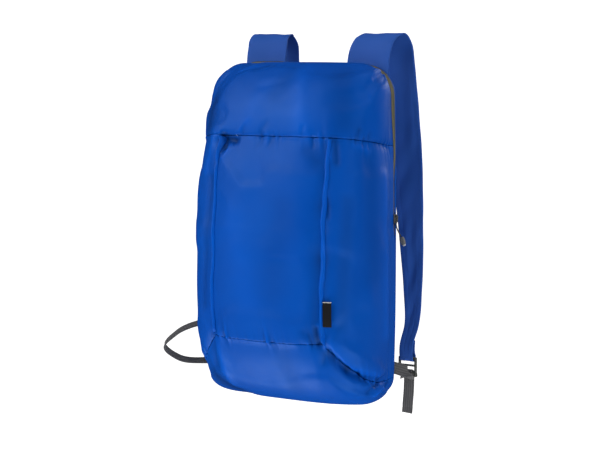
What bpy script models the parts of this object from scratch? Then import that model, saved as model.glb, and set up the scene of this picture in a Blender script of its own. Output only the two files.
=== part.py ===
"""A packable backpack of thin cloth, stuffed, and hung by its two shoulder straps.

Metres, +Z up. The front faces -Y, and X runs to the right as one faces the front. The bag is
drawn with z = 0 at the bottom of its back panel and y = 0 on that panel's inner face, and an
empty then carries it all, so that the origin is the hang point between the two strap arches.
"""
from math import cos, exp, hypot, pi, radians, sin, sqrt

import bmesh
import bpy
import numpy as np
from mathutils import Vector

# The stuffed bag
BACK_HEIGHT = 0.411
BACK_WIDTH = 0.250
BODY_DEPTH = 0.121
SWELL = 0.018
TOP_CORNER = 0.036
BOTTOM_CORNER = 0.024
SIDE_ROUNDNESS = 3.1
TOP_ROUNDNESS = 3.2
BOTTOM_ROUNDNESS = 3.8
CLOTH = 0.0015
SEAM_GAP = 0.0005
PIECE_GAP = 0.0004

# Panels, as sizes on the front
POCKET_WIDTH = 0.145
POCKET_HEIGHT = 0.2335
POCKET_SHIFT = 0.0065
BASE_HEIGHT = 0.0825
YOKE_DROP = 0.003
BASE_DROP = 0.064
BASE_CURVE = 2.7
POCKET_PUFF = 0.0035
PANEL_PUFF = 0.0030
PAD_BOW = 0.0025
PAD_WIDTH = 0.090
PAD_HEIGHT = 0.250

# The zip between the front shell and the back panel
ZIP_BAND = 0.0085
ZIP_SIDE_BAND = 0.0046
ZIP_WIDENS_FROM = 0.300
ZIP_WIDENS_OVER = 0.060
ZIP_BOTTOM = 0.182
ZIP_RAMP = 0.035
ZIP_STAND_BACK = 0.003
ZIP_PUFF = 0.0012
SLIDER_LENGTH = 0.011
SLIDER_WIDTH = 0.0075
SLIDER_THICKNESS = 0.0036
PULL_CORD = 0.0018
PULL_END_LENGTH = 0.0105
PULL_END_WIDTH = 0.0056
PULL_CORD_LENGTH = 0.0175
PULL_LEAN = radians(24)
EDGE_ROUND = 0.0006

# Folded strips over the pocket's upright edges, and the tag beside the right one
WELT_WIDTH = 0.0075
WELT_CROWN = 0.0016
WELT_CLOTH = 0.0012
WELT_INSET = 0.006
LABEL_WIDTH = 0.0100
LABEL_HEIGHT = 0.0290
LABEL_UP = 0.021
LABEL_CLOTH = 0.0010

# Shoulder straps
STRAP_CLOTH = 0.0018
STRAP_WIDTH = 0.062
STRAP_END_WIDTH = 0.0190
STRAP_INSET = 0.046
STRAP_TAB = 0.034
STRAP_ARCH = 0.041
STRAP_STANDOFF = 0.058
STRAP_SPLAY = 0.046
STRAP_RETURN = 0.022
LEFT_LIFT = 0.050
LEFT_BOW = 0.027
LEFT_TUCK = 0.025
LEFT_STANDOFF = 0.010
LOCK_STANDOFF = 0.034

# Ladder lock buckles and webbing
LOCK_WIDTH = 0.0265
LOCK_RAIL = 0.0030
LOCK_THICKNESS = 0.0036
LOCK_BAR = 0.0026
LOCK_SLOT_STRAP = 0.0068
LOCK_SLOT_WEBBING = 0.0062
LOCK_LUG = 0.0062
LOCK_HEIGHT_ON_BAG = 0.0440
WEBBING_WIDTH = 0.0150
WEBBING = 0.0012
WEBBING_ANCHOR = 0.036
WEBBING_ANCHOR_IN = 0.015
WEBBING_RIGHT_REACH = 0.0245
WEBBING_LEFT_REACH = 0.089
TAIL_RIGHT = 0.053
TAIL_LEFT = 0.035

# Sections of the bag at shares of the back panel's height: shares of its width and of the depth
SECTIONS = (
    # height, width, depth
    (0.00, 0.985, 0.93),
    (0.22, 1.000, 1.00),
    (0.45, 1.000, 0.98),
    (0.70, 0.990, 0.90),
    (0.86, 0.980, 0.80),
    (1.00, 0.965, 0.66),
)

# Folds and dents in the front shell: the ends of each as shares of the half girth and of the
# half height, its half width and its depth as shares of the bag's depth (below zero is a dent)
FOLDS = (
    # across, up, across end, up end, half width, depth
    (0.66, 0.50, 0.62, -0.30, 0.12, -0.016),
    (0.44, -0.49, 0.56, -0.57, 0.06, -0.026),
    (0.56, -0.57, 0.85, -0.64, 0.06, -0.018),
    (0.46, -0.41, 0.75, -0.54, 0.07, 0.016),
    (-0.62, 0.40, -0.60, -0.45, 0.12, -0.014),
    (-0.10, 0.70, 0.30, 0.80, 0.14, -0.018),
    (0.55, 0.66, 0.75, 0.84, 0.10, -0.020),
    (-0.60, 0.62, -0.35, 0.84, 0.12, -0.016),
    (-0.38, 0.44, -0.10, 0.20, 0.14, 0.016),
    (0.20, -0.10, 0.32, -0.42, 0.16, -0.014),
)

# The strap from its arch to the buckle: shares of the drop from the arch, of the standoff
# and of the splay, and how far its width has gone towards the narrow end
STRAP_SECTIONS = (
    # drop, back, splay, narrowing
    (0.020, 0.25, 0.08, 0.06),
    (0.000, 0.58, 0.18, 0.12),
    (0.030, 0.84, 0.20, 0.16),
    (0.095, 0.93, 0.25, 0.20),
    (0.240, 1.00, 0.38, 0.28),
    (0.420, 1.04, 0.54, 0.40),
    (0.600, 1.02, 0.68, 0.58),
    (0.780, 0.90, 0.86, 0.80),
    (0.900, 0.74, 0.96, 0.95),
)

# Webbing from the bag's lower corner to its buckle: distances from the corner anchor as shares of
# the webbing's reach, outwards, backwards and upwards, and the way that its width faces
WEBBING_RIGHT_ROUTE = (
    # out, back, up, width out, width back, width up
    (0.00, 0.00, 0.00, 0.0, 0.0, 1.0),
    (0.45, 0.04, -0.04, 0.0, 0.0, 1.0),
    (0.78, 0.29, -0.16, -0.2, -0.2, 1.0),
    (1.00, 0.65, -0.33, -0.6, -0.3, 0.8),
)
WEBBING_LEFT_ROUTE = (
    # out, back, up, width out, width back, width up
    (0.000, 0.000, 0.000, 0.0, 0.0, 1.0),
    (0.160, 0.025, -0.030, 0.1, 0.0, 1.0),
    (0.315, -0.045, -0.090, 0.3, 0.5, 0.8),
    (0.607, -0.247, -0.140, 0.5, 0.7, 0.5),
    (0.876, -0.517, -0.090, 0.5, 0.7, 0.5),
    (1.000, -0.652, 0.050, 0.5, 0.7, 0.5),
    (0.843, -0.506, 0.225, 0.5, 0.7, 0.5),
    (0.562, -0.202, 0.382, 0.5, 0.7, 0.5),
    (0.315, 0.112, 0.404, 0.5, 0.7, 0.5),
    (0.112, 0.337, 0.292, 0.8, 0.4, 0.3),
)

SHELL_COLUMNS = 24


def clear_scene():
    for thing in list(bpy.data.objects):
        bpy.data.objects.remove(thing)


def material(name, colour, roughness, metallic=0.0):
    made = bpy.data.materials.new(name)
    made.use_nodes = True
    shader = made.node_tree.nodes["Principled BSDF"]
    shader.inputs["Base Color"].default_value = (*colour, 1)
    shader.inputs["Roughness"].default_value = roughness
    shader.inputs["Metallic"].default_value = metallic
    return made


def smoothstep(share):
    share = min(max(share, 0), 1)
    return share * share * (3 - 2 * share)


def smooth_rows(rows, steps):
    """Points on a smooth curve through the rows, with the given steps between two of them."""
    rows = np.array(rows, float)
    padded = np.vstack([2 * rows[0] - rows[1], rows, 2 * rows[-1] - rows[-2]])
    made = []
    for before, start, end, after in zip(padded, padded[1:], padded[2:], padded[3:]):
        spans = ((before, start), (start, end), (end, after))
        back, here, ahead = (np.linalg.norm((q - p)[:3]) for p, q in spans)
        slope_start = ((start - before) / back * here**2 + (end - start) * back) / (back + here)
        slope_end = ((end - start) * ahead + (after - end) / ahead * here**2) / (here + ahead)
        for t in np.arange(steps) / steps:
            made.append(
                (2 * t**3 - 3 * t**2 + 1) * start
                + (t**3 - 2 * t**2 + t) * slope_start
                + (3 * t**2 - 2 * t**3) * end
                + (t**3 - t**2) * slope_end
            )
    made.append(rows[-1])
    return np.array(made)


class Quarter:
    """A quarter of a superellipse from the middle of a face (0) to its rim (1), by arc length."""

    def __init__(self, roundness, reach, depth):
        turn = np.linspace(0, pi / 2, 600)
        self.across = np.sin(turn) ** (2 / roundness)
        self.depth = np.cos(turn) ** (2 / roundness)
        self.across[0] = 0
        self.depth[-1] = 0
        steps = np.hypot(np.diff(self.across) * reach, np.diff(self.depth) * depth)
        self.run = np.concatenate([[0], np.cumsum(steps)])
        self.length = self.run[-1]
        self.run = self.run / self.length

    def at(self, share):
        share = min(abs(share), 1)
        across = np.interp(share, self.run, self.across)
        return float(across), float(np.interp(share, self.run, self.depth))

    def share_of(self, across):
        return float(np.interp(across, self.across, self.run))


SIDE = Quarter(SIDE_ROUNDNESS, BACK_WIDTH / 2, BODY_DEPTH)
TOP = Quarter(TOP_ROUNDNESS, BACK_HEIGHT / 2, BODY_DEPTH * 0.8)
BOTTOM = Quarter(BOTTOM_ROUNDNESS, BACK_HEIGHT / 2, BODY_DEPTH)
SECTION_CURVE = smooth_rows(SECTIONS, 8)


def section(height_share):
    """Shares of the back panel's width and of the depth at a share of the height."""
    width = np.interp(height_share, SECTION_CURVE[:, 0], SECTION_CURVE[:, 1])
    depth = np.interp(height_share, SECTION_CURVE[:, 0], SECTION_CURVE[:, 2])
    return float(width), float(depth)


def outline_point(across, up):
    """A point of the back panel's plane, where 1 is its edge: a rectangle with round corners."""
    half_height = BACK_HEIGHT / 2
    half_width = BACK_WIDTH / 2 * section((up + 1) / 2)[0]
    x = abs(across) * half_width
    z = abs(up) * half_height
    corner = TOP_CORNER if up > 0 else BOTTOM_CORNER
    over_x = (x - half_width + corner) / corner
    over_z = (z - half_height + corner) / corner
    if over_x > 0 and over_z > 0:
        x = half_width - corner + corner * over_x * sqrt(1 - over_z**2 / 2)
        z = half_height - corner + corner * over_z * sqrt(1 - over_x**2 / 2)
    return (x if across > 0 else -x), half_height + (z if up > 0 else -z)


def zip_width(z):
    """How far the front shell stands from the back panel, where the zip runs between them."""
    opened = smoothstep((z - ZIP_BOTTOM) / ZIP_RAMP)
    widened = smoothstep((z - ZIP_WIDENS_FROM) / ZIP_WIDENS_OVER)
    return PIECE_GAP + (ZIP_SIDE_BAND - PIECE_GAP) * opened + (ZIP_BAND - ZIP_SIDE_BAND) * widened


def smooth_shell(a, b):
    """The stuffed form without folds: a runs from side to side and b from bottom to top, -1 to 1."""
    across, side_depth = SIDE.at(a)
    up, end_depth = (TOP if b > 0 else BOTTOM).at(b)
    x, z = outline_point(across if a > 0 else -across, up if b > 0 else -up)
    full = section((up if b > 0 else -up) / 2 + 0.5)[1] * BODY_DEPTH
    x += (1 if a > 0 else -1) * SWELL * across * side_depth * end_depth
    z += (1 if b > 0 else -1) * SWELL * up * end_depth * side_depth
    band = zip_width(z)
    return Vector((x, -band - (full - band) * side_depth * end_depth, z))


def normal_at(surface, a, b):
    step = 0.004
    low_a, high_a = max(a - step, -1), min(a + step, 1)
    low_b, high_b = max(b - step, -1), min(b + step, 1)
    along = surface(high_a, b) - surface(low_a, b)
    rise = surface(a, high_b) - surface(a, low_b)
    return along.cross(rise).normalized()


def pocket_edge(a):
    """The share of the half girth at which the pocket ends, on the side that a is on."""
    shift = POCKET_SHIFT / SIDE.length
    return SIDE.share_of(POCKET_WIDTH / BACK_WIDTH) + (shift if a > 0 else -shift)


def up_share(z):
    """The shell's b at which its rim or front lies at a height above the bottom."""
    up = z / (BACK_HEIGHT / 2) - 1
    return TOP.share_of(up) if up > 0 else -BOTTOM.share_of(-up)


POCKET_LOW = up_share(BASE_HEIGHT)
POCKET_HIGH = up_share(BASE_HEIGHT + POCKET_HEIGHT)


def beyond_pocket(a):
    edge = pocket_edge(a)
    return max(abs(a) - edge, 0) / (1 - edge)


def yoke_seam(a):
    drop = YOKE_DROP / TOP.length
    return POCKET_HIGH - drop * smoothstep(beyond_pocket(a))


def base_seam(a):
    drop = BASE_DROP / BOTTOM.length
    return POCKET_LOW - drop * (1 - (1 - beyond_pocket(a)) ** BASE_CURVE)


def share_within(value, low, high):
    return min(max((2 * value - low - high) / (high - low), -1), 1)


def puff(a, b):
    """How far each panel swells between its seams."""
    if b > yoke_seam(a):
        across = a
        up = share_within(b, yoke_seam(a), 1)
        height = PANEL_PUFF
    elif b < base_seam(a):
        across = a
        up = share_within(b, -1, base_seam(a))
        height = PANEL_PUFF
    else:
        up = share_within(b, base_seam(a), yoke_seam(a))
        edge = pocket_edge(a)
        inside = abs(a) < edge
        across = a / edge if inside else share_within(abs(a), edge, 1)
        height = POCKET_PUFF if inside else PANEL_PUFF
    return height * (1 - across**4) * (1 - up**4)


def folds(a, b):
    """The depth of all folds and dents at a place."""
    place = np.array([a * SIDE.length, b * TOP.length])
    total = 0
    for across, up, across_end, up_end, half_width, depth in FOLDS:
        start = np.array([across * SIDE.length, up * TOP.length])
        run = np.array([across_end * SIDE.length, up_end * TOP.length]) - start
        share = float(np.dot(place - start, run) / np.dot(run, run))
        away = np.linalg.norm(place - start - run * min(max(share, 0), 1))
        total += depth * BODY_DEPTH * exp(-((away / (half_width * BODY_DEPTH)) ** 2))
    return total


def shell_point(a, b):
    fade = smoothstep((1 - abs(a)) / 0.12) * smoothstep((1 - abs(b)) / 0.12)
    out = normal_at(smooth_shell, a, b)
    return smooth_shell(a, b) + out * (puff(a, b) + folds(a, b)) * fade


def mesh_from_grid(name, grid, collection, look, thickness, offset=-1):
    """A cloth piece: an open surface through a grid of points, thickened by Solidify."""
    bm = bmesh.new()
    rows = [[bm.verts.new(point) for point in row] for row in grid]
    for low, high in zip(rows, rows[1:]):
        for corner in range(len(low) - 1):
            bm.faces.new((low[corner], low[corner + 1], high[corner + 1], high[corner]))
    return piece_from(name, bm, collection, look, thickness, offset)


def piece_from(name, bm, collection, look, thickness=0, offset=-1):
    mesh = bpy.data.meshes.new(name)
    bm.to_mesh(mesh)
    bm.free()
    mesh.shade_smooth()
    mesh.materials.append(look)
    made = bpy.data.objects.new(name, mesh)
    collection.objects.link(made)
    if thickness:
        wall = made.modifiers.new("wall", "SOLIDIFY")
        wall.thickness = thickness
        wall.offset = offset
    return made


def panel(name, columns, rows, place, collection, look):
    """A panel of the shell, over u and v from -1 to 1."""
    grid = [
        [shell_point(*place(2 * i / columns - 1, 2 * j / rows - 1)) for i in range(columns + 1)]
        for j in range(rows + 1)
    ]
    return mesh_from_grid(name, grid, collection, look, CLOTH)


INSET_A = SEAM_GAP / 2 / SIDE.length
INSET_B = SEAM_GAP / 2 / TOP.length


def between(low, high, share):
    return low + (high - low) * (share + 1) / 2


def yoke_place(u, v):
    return u, between(yoke_seam(u) + INSET_B, 1, v)


def base_place(u, v):
    return u, between(-1, base_seam(u) - INSET_B, v)


def pocket_place(u, v):
    a = u * (pocket_edge(u) - INSET_A)
    return a, between(base_seam(a) + INSET_B, yoke_seam(a) - INSET_B, v)


def side_place(sign):
    def place(u, v):
        near, far = pocket_edge(sign) + INSET_A, 1
        a = between(near, far, u) if sign > 0 else -between(near, far, -u)
        return a, between(base_seam(a) + INSET_B, yoke_seam(a) - INSET_B, v)

    return place


def front_shell(collection, look):
    made = [
        panel("yoke_panel", SHELL_COLUMNS, 10, yoke_place, collection, look),
        panel("pocket_panel", 12, 18, pocket_place, collection, look),
        panel("base_panel", SHELL_COLUMNS, 10, base_place, collection, look),
    ]
    for sign, side in ((-1, "left"), (1, "right")):
        made.append(panel(f"side_panel_{side}", 9, 18, side_place(sign), collection, look))
    return made


def pad_rise(x, z):
    """The back panel bows out to a flat pad between the straps."""
    beside = (abs(x) - PAD_WIDTH / 2) / (BACK_WIDTH / 2 - PAD_WIDTH / 2)
    above = (abs(z - BACK_HEIGHT / 2) - PAD_HEIGHT / 2) / (BACK_HEIGHT / 2 - PAD_HEIGHT / 2)
    return PAD_BOW * (1 - smoothstep(beside * 2.4)) * (1 - smoothstep(above * 2.4))


def spread(count, pad_share):
    """Grid stops from -1 to 1 with a stop on each edge of the pad."""
    inner = np.linspace(-pad_share, pad_share, count + 1)
    outer = np.linspace(pad_share, 1, count)[1:]
    return np.concatenate([-outer[::-1], inner, outer])


def back_panel(collection, look):
    acrosses = spread(4, PAD_WIDTH / BACK_WIDTH)
    ups = spread(4, PAD_HEIGHT / BACK_HEIGHT)
    grid = []
    for up in ups:
        row = []
        for across in acrosses:
            x, z = outline_point(across, up)
            row.append(Vector((x, CLOTH + pad_rise(x, z), z)))
        grid.append(row[::-1])
    return mesh_from_grid("back_panel", grid, collection, look, CLOTH)


def on_outline(a, b):
    """The back panel's edge at a place on the shell's rim."""
    across, up = SIDE.at(a)[0], (TOP if b > 0 else BOTTOM).at(b)[0]
    return outline_point(across if a > 0 else -across, up if b > 0 else -up)


def outward(a, b):
    """The way outwards, in the back panel's plane, from a place on the shell's rim."""
    step = 0.01
    if abs(a) == 1:
        ends = on_outline(a, b - step), on_outline(a, min(b + step, 1))
    else:
        ends = on_outline(a - step, b), on_outline(a + step, b)
    out = Vector((ends[1][1] - ends[0][1], 0, ends[0][0] - ends[1][0])).normalized()
    x, z = on_outline(a, b)
    return out if out.dot(Vector((x, 0, z - BACK_HEIGHT / 2))) > 0 else -out


def main_zip(collection, look):
    """The tape and coil, from the right end over the top to the left end."""
    start = up_share(ZIP_BOTTOM + ZIP_RAMP * 0.55)
    side = [(1, between(start, 1, 2 * k / 18 - 1)) for k in range(18)]
    top = [(1 - 2 * k / 26, 1) for k in range(27)]
    grid = []
    for a, b in side + top + [(-a, b) for a, b in reversed(side)]:
        x, z = on_outline(a, b)
        width = zip_width(z - ZIP_STAND_BACK) - 2 * PIECE_GAP
        out = outward(a, b)
        row = []
        for share in (1, 0.65, 0.35, 0):
            crown = ZIP_PUFF * 4 * share * (1 - share)
            row.append(Vector((x, -PIECE_GAP - width * share, z)) + out * crown)
        grid.append(row)
    return mesh_from_grid("main_zip", grid, collection, look, CLOTH)


def block(name, size, place, collection, look, turn=0.0, round_by=EDGE_ROUND):
    """A box with rounded edges, of a size in x, y and z, turned about Y."""
    bm = bmesh.new()
    bmesh.ops.create_cube(bm, size=1)
    bmesh.ops.scale(bm, vec=Vector(size), verts=bm.verts)
    made = piece_from(name, bm, collection, look)
    made.location = place
    made.rotation_euler = (0, turn, 0)
    edges = made.modifiers.new("rounded edges", "BEVEL")
    edges.width = min(round_by, min(size) * 0.3)
    edges.segments = 2
    return made


def join(made, others, operation="UNION"):
    """Joins other pieces to one, or cuts them from it, with the others kept as hidden guides."""
    for other in others:
        other.hide_render = True
        other.display_type = "WIRE"
        cut = made.modifiers.new(operation.lower(), "BOOLEAN")
        cut.operation = operation
        cut.object = other


def slider_place():
    """Where the closed zip's slider sits: on the tape at the right end."""
    b = up_share(ZIP_BOTTOM + ZIP_RAMP + SLIDER_LENGTH / 2)
    x, z = on_outline(1, b)
    return Vector((x + ZIP_PUFF + PIECE_GAP + SLIDER_THICKNESS / 2, -ZIP_SIDE_BAND / 2, z))


def zip_slider(collection, guides, looks):
    place = slider_place()
    size = (SLIDER_THICKNESS, SLIDER_WIDTH, SLIDER_LENGTH)
    slider = block("zip_slider", size, place, collection, looks["metal"])
    bridge_size = (SLIDER_THICKNESS, SLIDER_WIDTH * 0.34, SLIDER_LENGTH * 0.7)
    bridge_place = place + Vector((SLIDER_THICKNESS * 0.75, 0, 0))
    join(slider, [block("slider_bridge", bridge_size, bridge_place, guides, looks["metal"])])
    cord_top = place + Vector((SLIDER_THICKNESS * 0.75, 0, -SLIDER_LENGTH / 2 - PIECE_GAP))
    fall = Vector((sin(PULL_LEAN), 0, -cos(PULL_LEAN)))
    cord_end = cord_top + fall * PULL_CORD_LENGTH
    bend = cord_top.lerp(cord_end, 0.5) + Vector((-0.5, -0.5, 0)) * PULL_CORD
    points = smooth_rows([tuple(cord_top), tuple(bend), tuple(cord_end)], 4)
    tube("zip_pull_loop", points, PULL_CORD / 2, collection, looks["cord"])
    end_size = (PULL_END_WIDTH, PULL_END_WIDTH * 0.8, PULL_END_LENGTH)
    end_place = cord_end + fall * (PULL_END_LENGTH / 2 + PIECE_GAP)
    block("zip_pull_end", end_size, end_place, collection, looks["moulded"], -PULL_LEAN, 2 * EDGE_ROUND)


def tube(name, points, radius, collection, look):
    curve = bpy.data.curves.new(name, "CURVE")
    curve.dimensions = "3D"
    curve.bevel_depth = radius
    curve.bevel_resolution = 2
    curve.use_fill_caps = True
    run = curve.splines.new("POLY")
    run.points.add(len(points) - 1)
    for target, point in zip(run.points, points):
        target.co = (*point, 1)
    curve.materials.append(look)
    made = bpy.data.objects.new(name, curve)
    collection.objects.link(made)
    return made


def pocket_welt(sign, side, collection, look):
    """A folded strip that stands over the seam along an upright edge of the pocket."""
    half = WELT_WIDTH / 2 / SIDE.length
    grid = []
    for k in range(25):
        row = []
        for share in (-1, -0.4, 0.4, 1):
            a = sign * pocket_edge(sign) + share * half
            low = base_seam(a) + WELT_INSET / TOP.length
            high = yoke_seam(a) - WELT_INSET / TOP.length
            b = low + (high - low) * k / 24
            lift = WELT_CLOTH + 1.5 * PIECE_GAP + WELT_CROWN * (1 - share**2)
            row.append(shell_point(a, b) + normal_at(shell_point, a, b) * lift)
        grid.append(row)
    return mesh_from_grid(f"pocket_welt_{side}", grid, collection, look, WELT_CLOTH)


def side_label(collection, look):
    """The bare tag that is sewn in beside the right welt."""
    near = pocket_edge(1) + (WELT_WIDTH / 2 + PIECE_GAP) / SIDE.length
    far = near + LABEL_WIDTH / SIDE.length
    low = up_share(BASE_HEIGHT + LABEL_UP)
    high = up_share(BASE_HEIGHT + LABEL_UP + LABEL_HEIGHT)
    grid = []
    for k in range(5):
        b = low + (high - low) * k / 4
        row = []
        for share in (0, 0.33, 0.67, 1):
            a = near + (far - near) * share
            lift = LABEL_CLOTH + 1.5 * PIECE_GAP
            row.append(shell_point(a, b) + normal_at(shell_point, a, b) * lift)
        grid.append(row)
    return mesh_from_grid("side_label", grid, collection, look, LABEL_CLOTH)


def ribbon(name, rows, columns, thickness, collection, look):
    """A flat band through rows of a place, a half width and the way that its width faces."""
    rows = np.array(rows)
    runs = np.gradient(rows[:, :3], axis=0)
    grid = []
    for row, run in zip(rows, runs):
        run = Vector(run).normalized()
        across = Vector(row[4:7])
        across = (across - run * across.dot(run)).normalized()
        shares = [2 * k / columns - 1 for k in range(columns + 1)]
        grid.append([Vector(row[:3]) + across * (row[3] * share) for share in shares])
    return mesh_from_grid(name, grid, collection, look, thickness, 0)


def turn_round(x, y, z, radius, start, end, steps):
    """Places on an arc about a bar along X, by angles from straight up towards the back."""
    made = []
    for k in range(steps + 1):
        angle = radians(start + (end - start) * k / steps)
        made.append((x, y + radius * sin(angle), z + radius * cos(angle)))
    return made


def lock_place(sign):
    """The middle of a buckle's top bar."""
    x = sign * (BACK_WIDTH / 2 - STRAP_INSET + STRAP_SPLAY)
    y = LOCK_STANDOFF
    z = LOCK_HEIGHT_ON_BAG
    if sign < 0:
        x += LEFT_TUCK
        y += LEFT_STANDOFF
        z += LEFT_LIFT
    return Vector((x, y, z))


def wrap_radius(thickness):
    """The radius at which a band's middle goes round one of a buckle's bars."""
    return hypot(LOCK_THICKNESS, LOCK_BAR) / 2 + PIECE_GAP + thickness / 2


def shoulder_strap(sign, side, collection, look):
    """From its tab on the back panel over the arch down to the buckle, and round its top bar."""
    top_bar = lock_place(sign)
    edge = outline_point(1 - 2 * STRAP_INSET / BACK_WIDTH, 1)[1]
    crest = BACK_HEIGHT + STRAP_ARCH
    face = CLOTH + PIECE_GAP + STRAP_CLOTH / 2
    half, half_end = STRAP_WIDTH / 2, STRAP_END_WIDTH / 2
    x = sign * (BACK_WIDTH / 2 - STRAP_INSET)
    tuck = LEFT_TUCK if sign < 0 else 0
    loop = wrap_radius(STRAP_CLOTH)
    rows = [
        (x, face, edge - STRAP_TAB, half),
        (x, face, edge - STRAP_TAB * 0.4, half),
        (x, face + STRAP_STANDOFF * 0.02, edge + STRAP_ARCH * 0.05, half),
        (x + sign * STRAP_SPLAY * 0.03, face + STRAP_STANDOFF * 0.10, edge + STRAP_ARCH * 0.55, half * 0.99),
    ]
    bow = LEFT_BOW if sign < 0 else 0
    for drop, back, splay, narrowing in STRAP_SECTIONS:
        bowed = bow * smoothstep(drop * 1.3) * (1 - smoothstep(drop * 1.5 - 0.5))
        y = STRAP_STANDOFF * back + bowed + (top_bar.y - LOCK_STANDOFF) * drop
        z = crest + (top_bar.z - crest) * drop
        across = x + sign * STRAP_SPLAY * splay + tuck * drop**2
        rows.append((across, y, z, half + (half_end - half) * narrowing))
    front, rear = top_bar.y - loop, top_bar.y + loop
    rows.append((top_bar.x, front - STRAP_CLOTH * 0.5, top_bar.z + STRAP_RETURN * 0.55, half_end))
    rows += [(*p, half_end) for p in turn_round(*top_bar, loop, -90, -270, 6)]
    rows.append((top_bar.x, rear + STRAP_CLOTH * 0.3, top_bar.z + STRAP_RETURN * 0.36, half_end))
    rows.append((top_bar.x, rear + STRAP_CLOTH * 0.8, top_bar.z + STRAP_RETURN, half_end))
    rows = [(*row, 1, 0, 0) for row in rows]
    return ribbon(f"strap_{side}", smooth_rows(rows, 3), 4, STRAP_CLOTH, collection, look)


def ladder_lock(sign, side, collection, guides, look):
    """A frame with one slot for the strap and one for the webbing, and a lug below each rail."""
    top_bar = lock_place(sign)
    height = LOCK_BAR * 3 + LOCK_SLOT_STRAP + LOCK_SLOT_WEBBING
    inside = LOCK_WIDTH - 2 * LOCK_RAIL
    top = top_bar.z + LOCK_BAR / 2
    middle = Vector((top_bar.x, top_bar.y, top - height / 2))
    lock = block(f"buckle_{side}", (LOCK_WIDTH, LOCK_THICKNESS, height), middle, collection, look)
    slots = []
    upper = top - LOCK_BAR
    for number, slot in enumerate((LOCK_SLOT_STRAP, LOCK_SLOT_WEBBING)):
        place = Vector((top_bar.x, top_bar.y, upper - slot / 2))
        size = (inside, LOCK_THICKNESS * 3, slot)
        slots.append(block(f"slot_{side}_{number}", size, place, guides, look))
        upper -= slot + LOCK_BAR
    join(lock, slots, "DIFFERENCE")
    lugs = []
    for end in (-1, 1):
        rail_x = top_bar.x + end * (LOCK_WIDTH - LOCK_RAIL) / 2
        place = Vector((rail_x, top_bar.y, top - height - LOCK_LUG * 0.2))
        size = (LOCK_RAIL * 1.2, LOCK_THICKNESS * 1.3, LOCK_LUG)
        lugs.append(block(f"lug_{side}_{end}", size, place, guides, look, 0, 2 * EDGE_ROUND))
    join(lock, lugs)
    return lock


def webbing(sign, side, route, reach, tail, collection, look):
    """From the bag's lower corner to the buckle, over its lowest bar, and down as the tail."""
    top_bar = lock_place(sign)
    low_bar = top_bar.z - 2 * LOCK_BAR - LOCK_SLOT_STRAP - LOCK_SLOT_WEBBING
    anchor_x = BACK_WIDTH / 2 - WEBBING_ANCHOR_IN
    face = CLOTH + PIECE_GAP + WEBBING / 2
    half = WEBBING_WIDTH / 2
    rows = []
    for out, back, up, width_out, width_back, width_up in route:
        place = (sign * (anchor_x + out * reach), face + back * reach, WEBBING_ANCHOR + up * reach)
        rows.append((*place, half, sign * width_out, width_back, width_up))
    loop = wrap_radius(WEBBING)
    facing = (1 if rows[-1][4] > 0 else -1, 0, 0)
    x, front, rear = top_bar.x, top_bar.y - loop, top_bar.y + loop
    rows.append((x, front - WEBBING * 0.8, low_bar - WEBBING_WIDTH * 0.3, half, *facing))
    for place in turn_round(x, top_bar.y, low_bar, loop, -90, 90, 6):
        rows.append((*place, half, *facing))
    rows.append((x, rear + WEBBING * 0.4, low_bar - tail * 0.3, half, *facing))
    rows.append((x - sign * WEBBING * 0.8, rear, low_bar - tail * 0.7, half, *facing))
    rows.append((x - sign * WEBBING * 1.6, rear - WEBBING * 0.8, low_bar - tail, half, *facing))
    return ribbon(f"webbing_{side}", smooth_rows(rows, 3), 2, WEBBING, collection, look)


def hang_point():
    """Midway between the undersides of the two strap arches."""
    crest_back = STRAP_SECTIONS[1][1]
    return Vector((0, STRAP_STANDOFF * crest_back, BACK_HEIGHT + STRAP_ARCH - STRAP_CLOTH / 2))


def build():
    clear_scene()
    collection = bpy.data.collections.new("packable_backpack")
    guides = bpy.data.collections.new("cutters")
    for group in (collection, guides):
        bpy.context.scene.collection.children.link(group)
    looks = {
        "cloth": material("blue_cloth", (0.02, 0.09, 0.50), 0.45),
        "strap": material("blue_strap_cloth", (0.02, 0.07, 0.32), 0.5),
        "tape": material("zip_tape", (0.16, 0.14, 0.08), 0.7),
        "metal": material("slider_metal", (0.05, 0.05, 0.05), 0.35, 0.8),
        "cord": material("pull_cord", (0.03, 0.03, 0.03), 0.7),
        "moulded": material("moulded_pull_end", (0.12, 0.12, 0.12), 0.5),
        "webbing": material("grey_webbing", (0.09, 0.09, 0.095), 0.8),
        "lock": material("buckle_plastic", (0.06, 0.065, 0.06), 0.4),
        "label": material("label", (0.01, 0.01, 0.012), 0.6),
    }
    front_shell(collection, looks["cloth"])
    back_panel(collection, looks["cloth"])
    main_zip(collection, looks["tape"])
    zip_slider(collection, guides, looks)
    side_label(collection, looks["label"])
    for sign, side, route, reach, tail in (
        (-1, "left", WEBBING_LEFT_ROUTE, WEBBING_LEFT_REACH, TAIL_LEFT),
        (1, "right", WEBBING_RIGHT_ROUTE, WEBBING_RIGHT_REACH, TAIL_RIGHT),
    ):
        pocket_welt(sign, side, collection, looks["cloth"])
        shoulder_strap(sign, side, collection, looks["strap"])
        ladder_lock(sign, side, collection, guides, looks["lock"])
        webbing(sign, side, route, reach, tail, collection, looks["webbing"])
    bag = bpy.data.objects.new("bag_frame", None)
    collection.objects.link(bag)
    bag.location = -hang_point()
    for group in (collection, guides):
        for piece in group.objects:
            if piece is not bag:
                piece.parent = bag


build()
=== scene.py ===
"""The packable backpack with its cloth, zip, straps, webbing and buckles, on white."""
from math import cos, hypot, pi, radians, sin

import bmesh
import bpy
import numpy as np
from mathutils import Matrix, Vector


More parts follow.
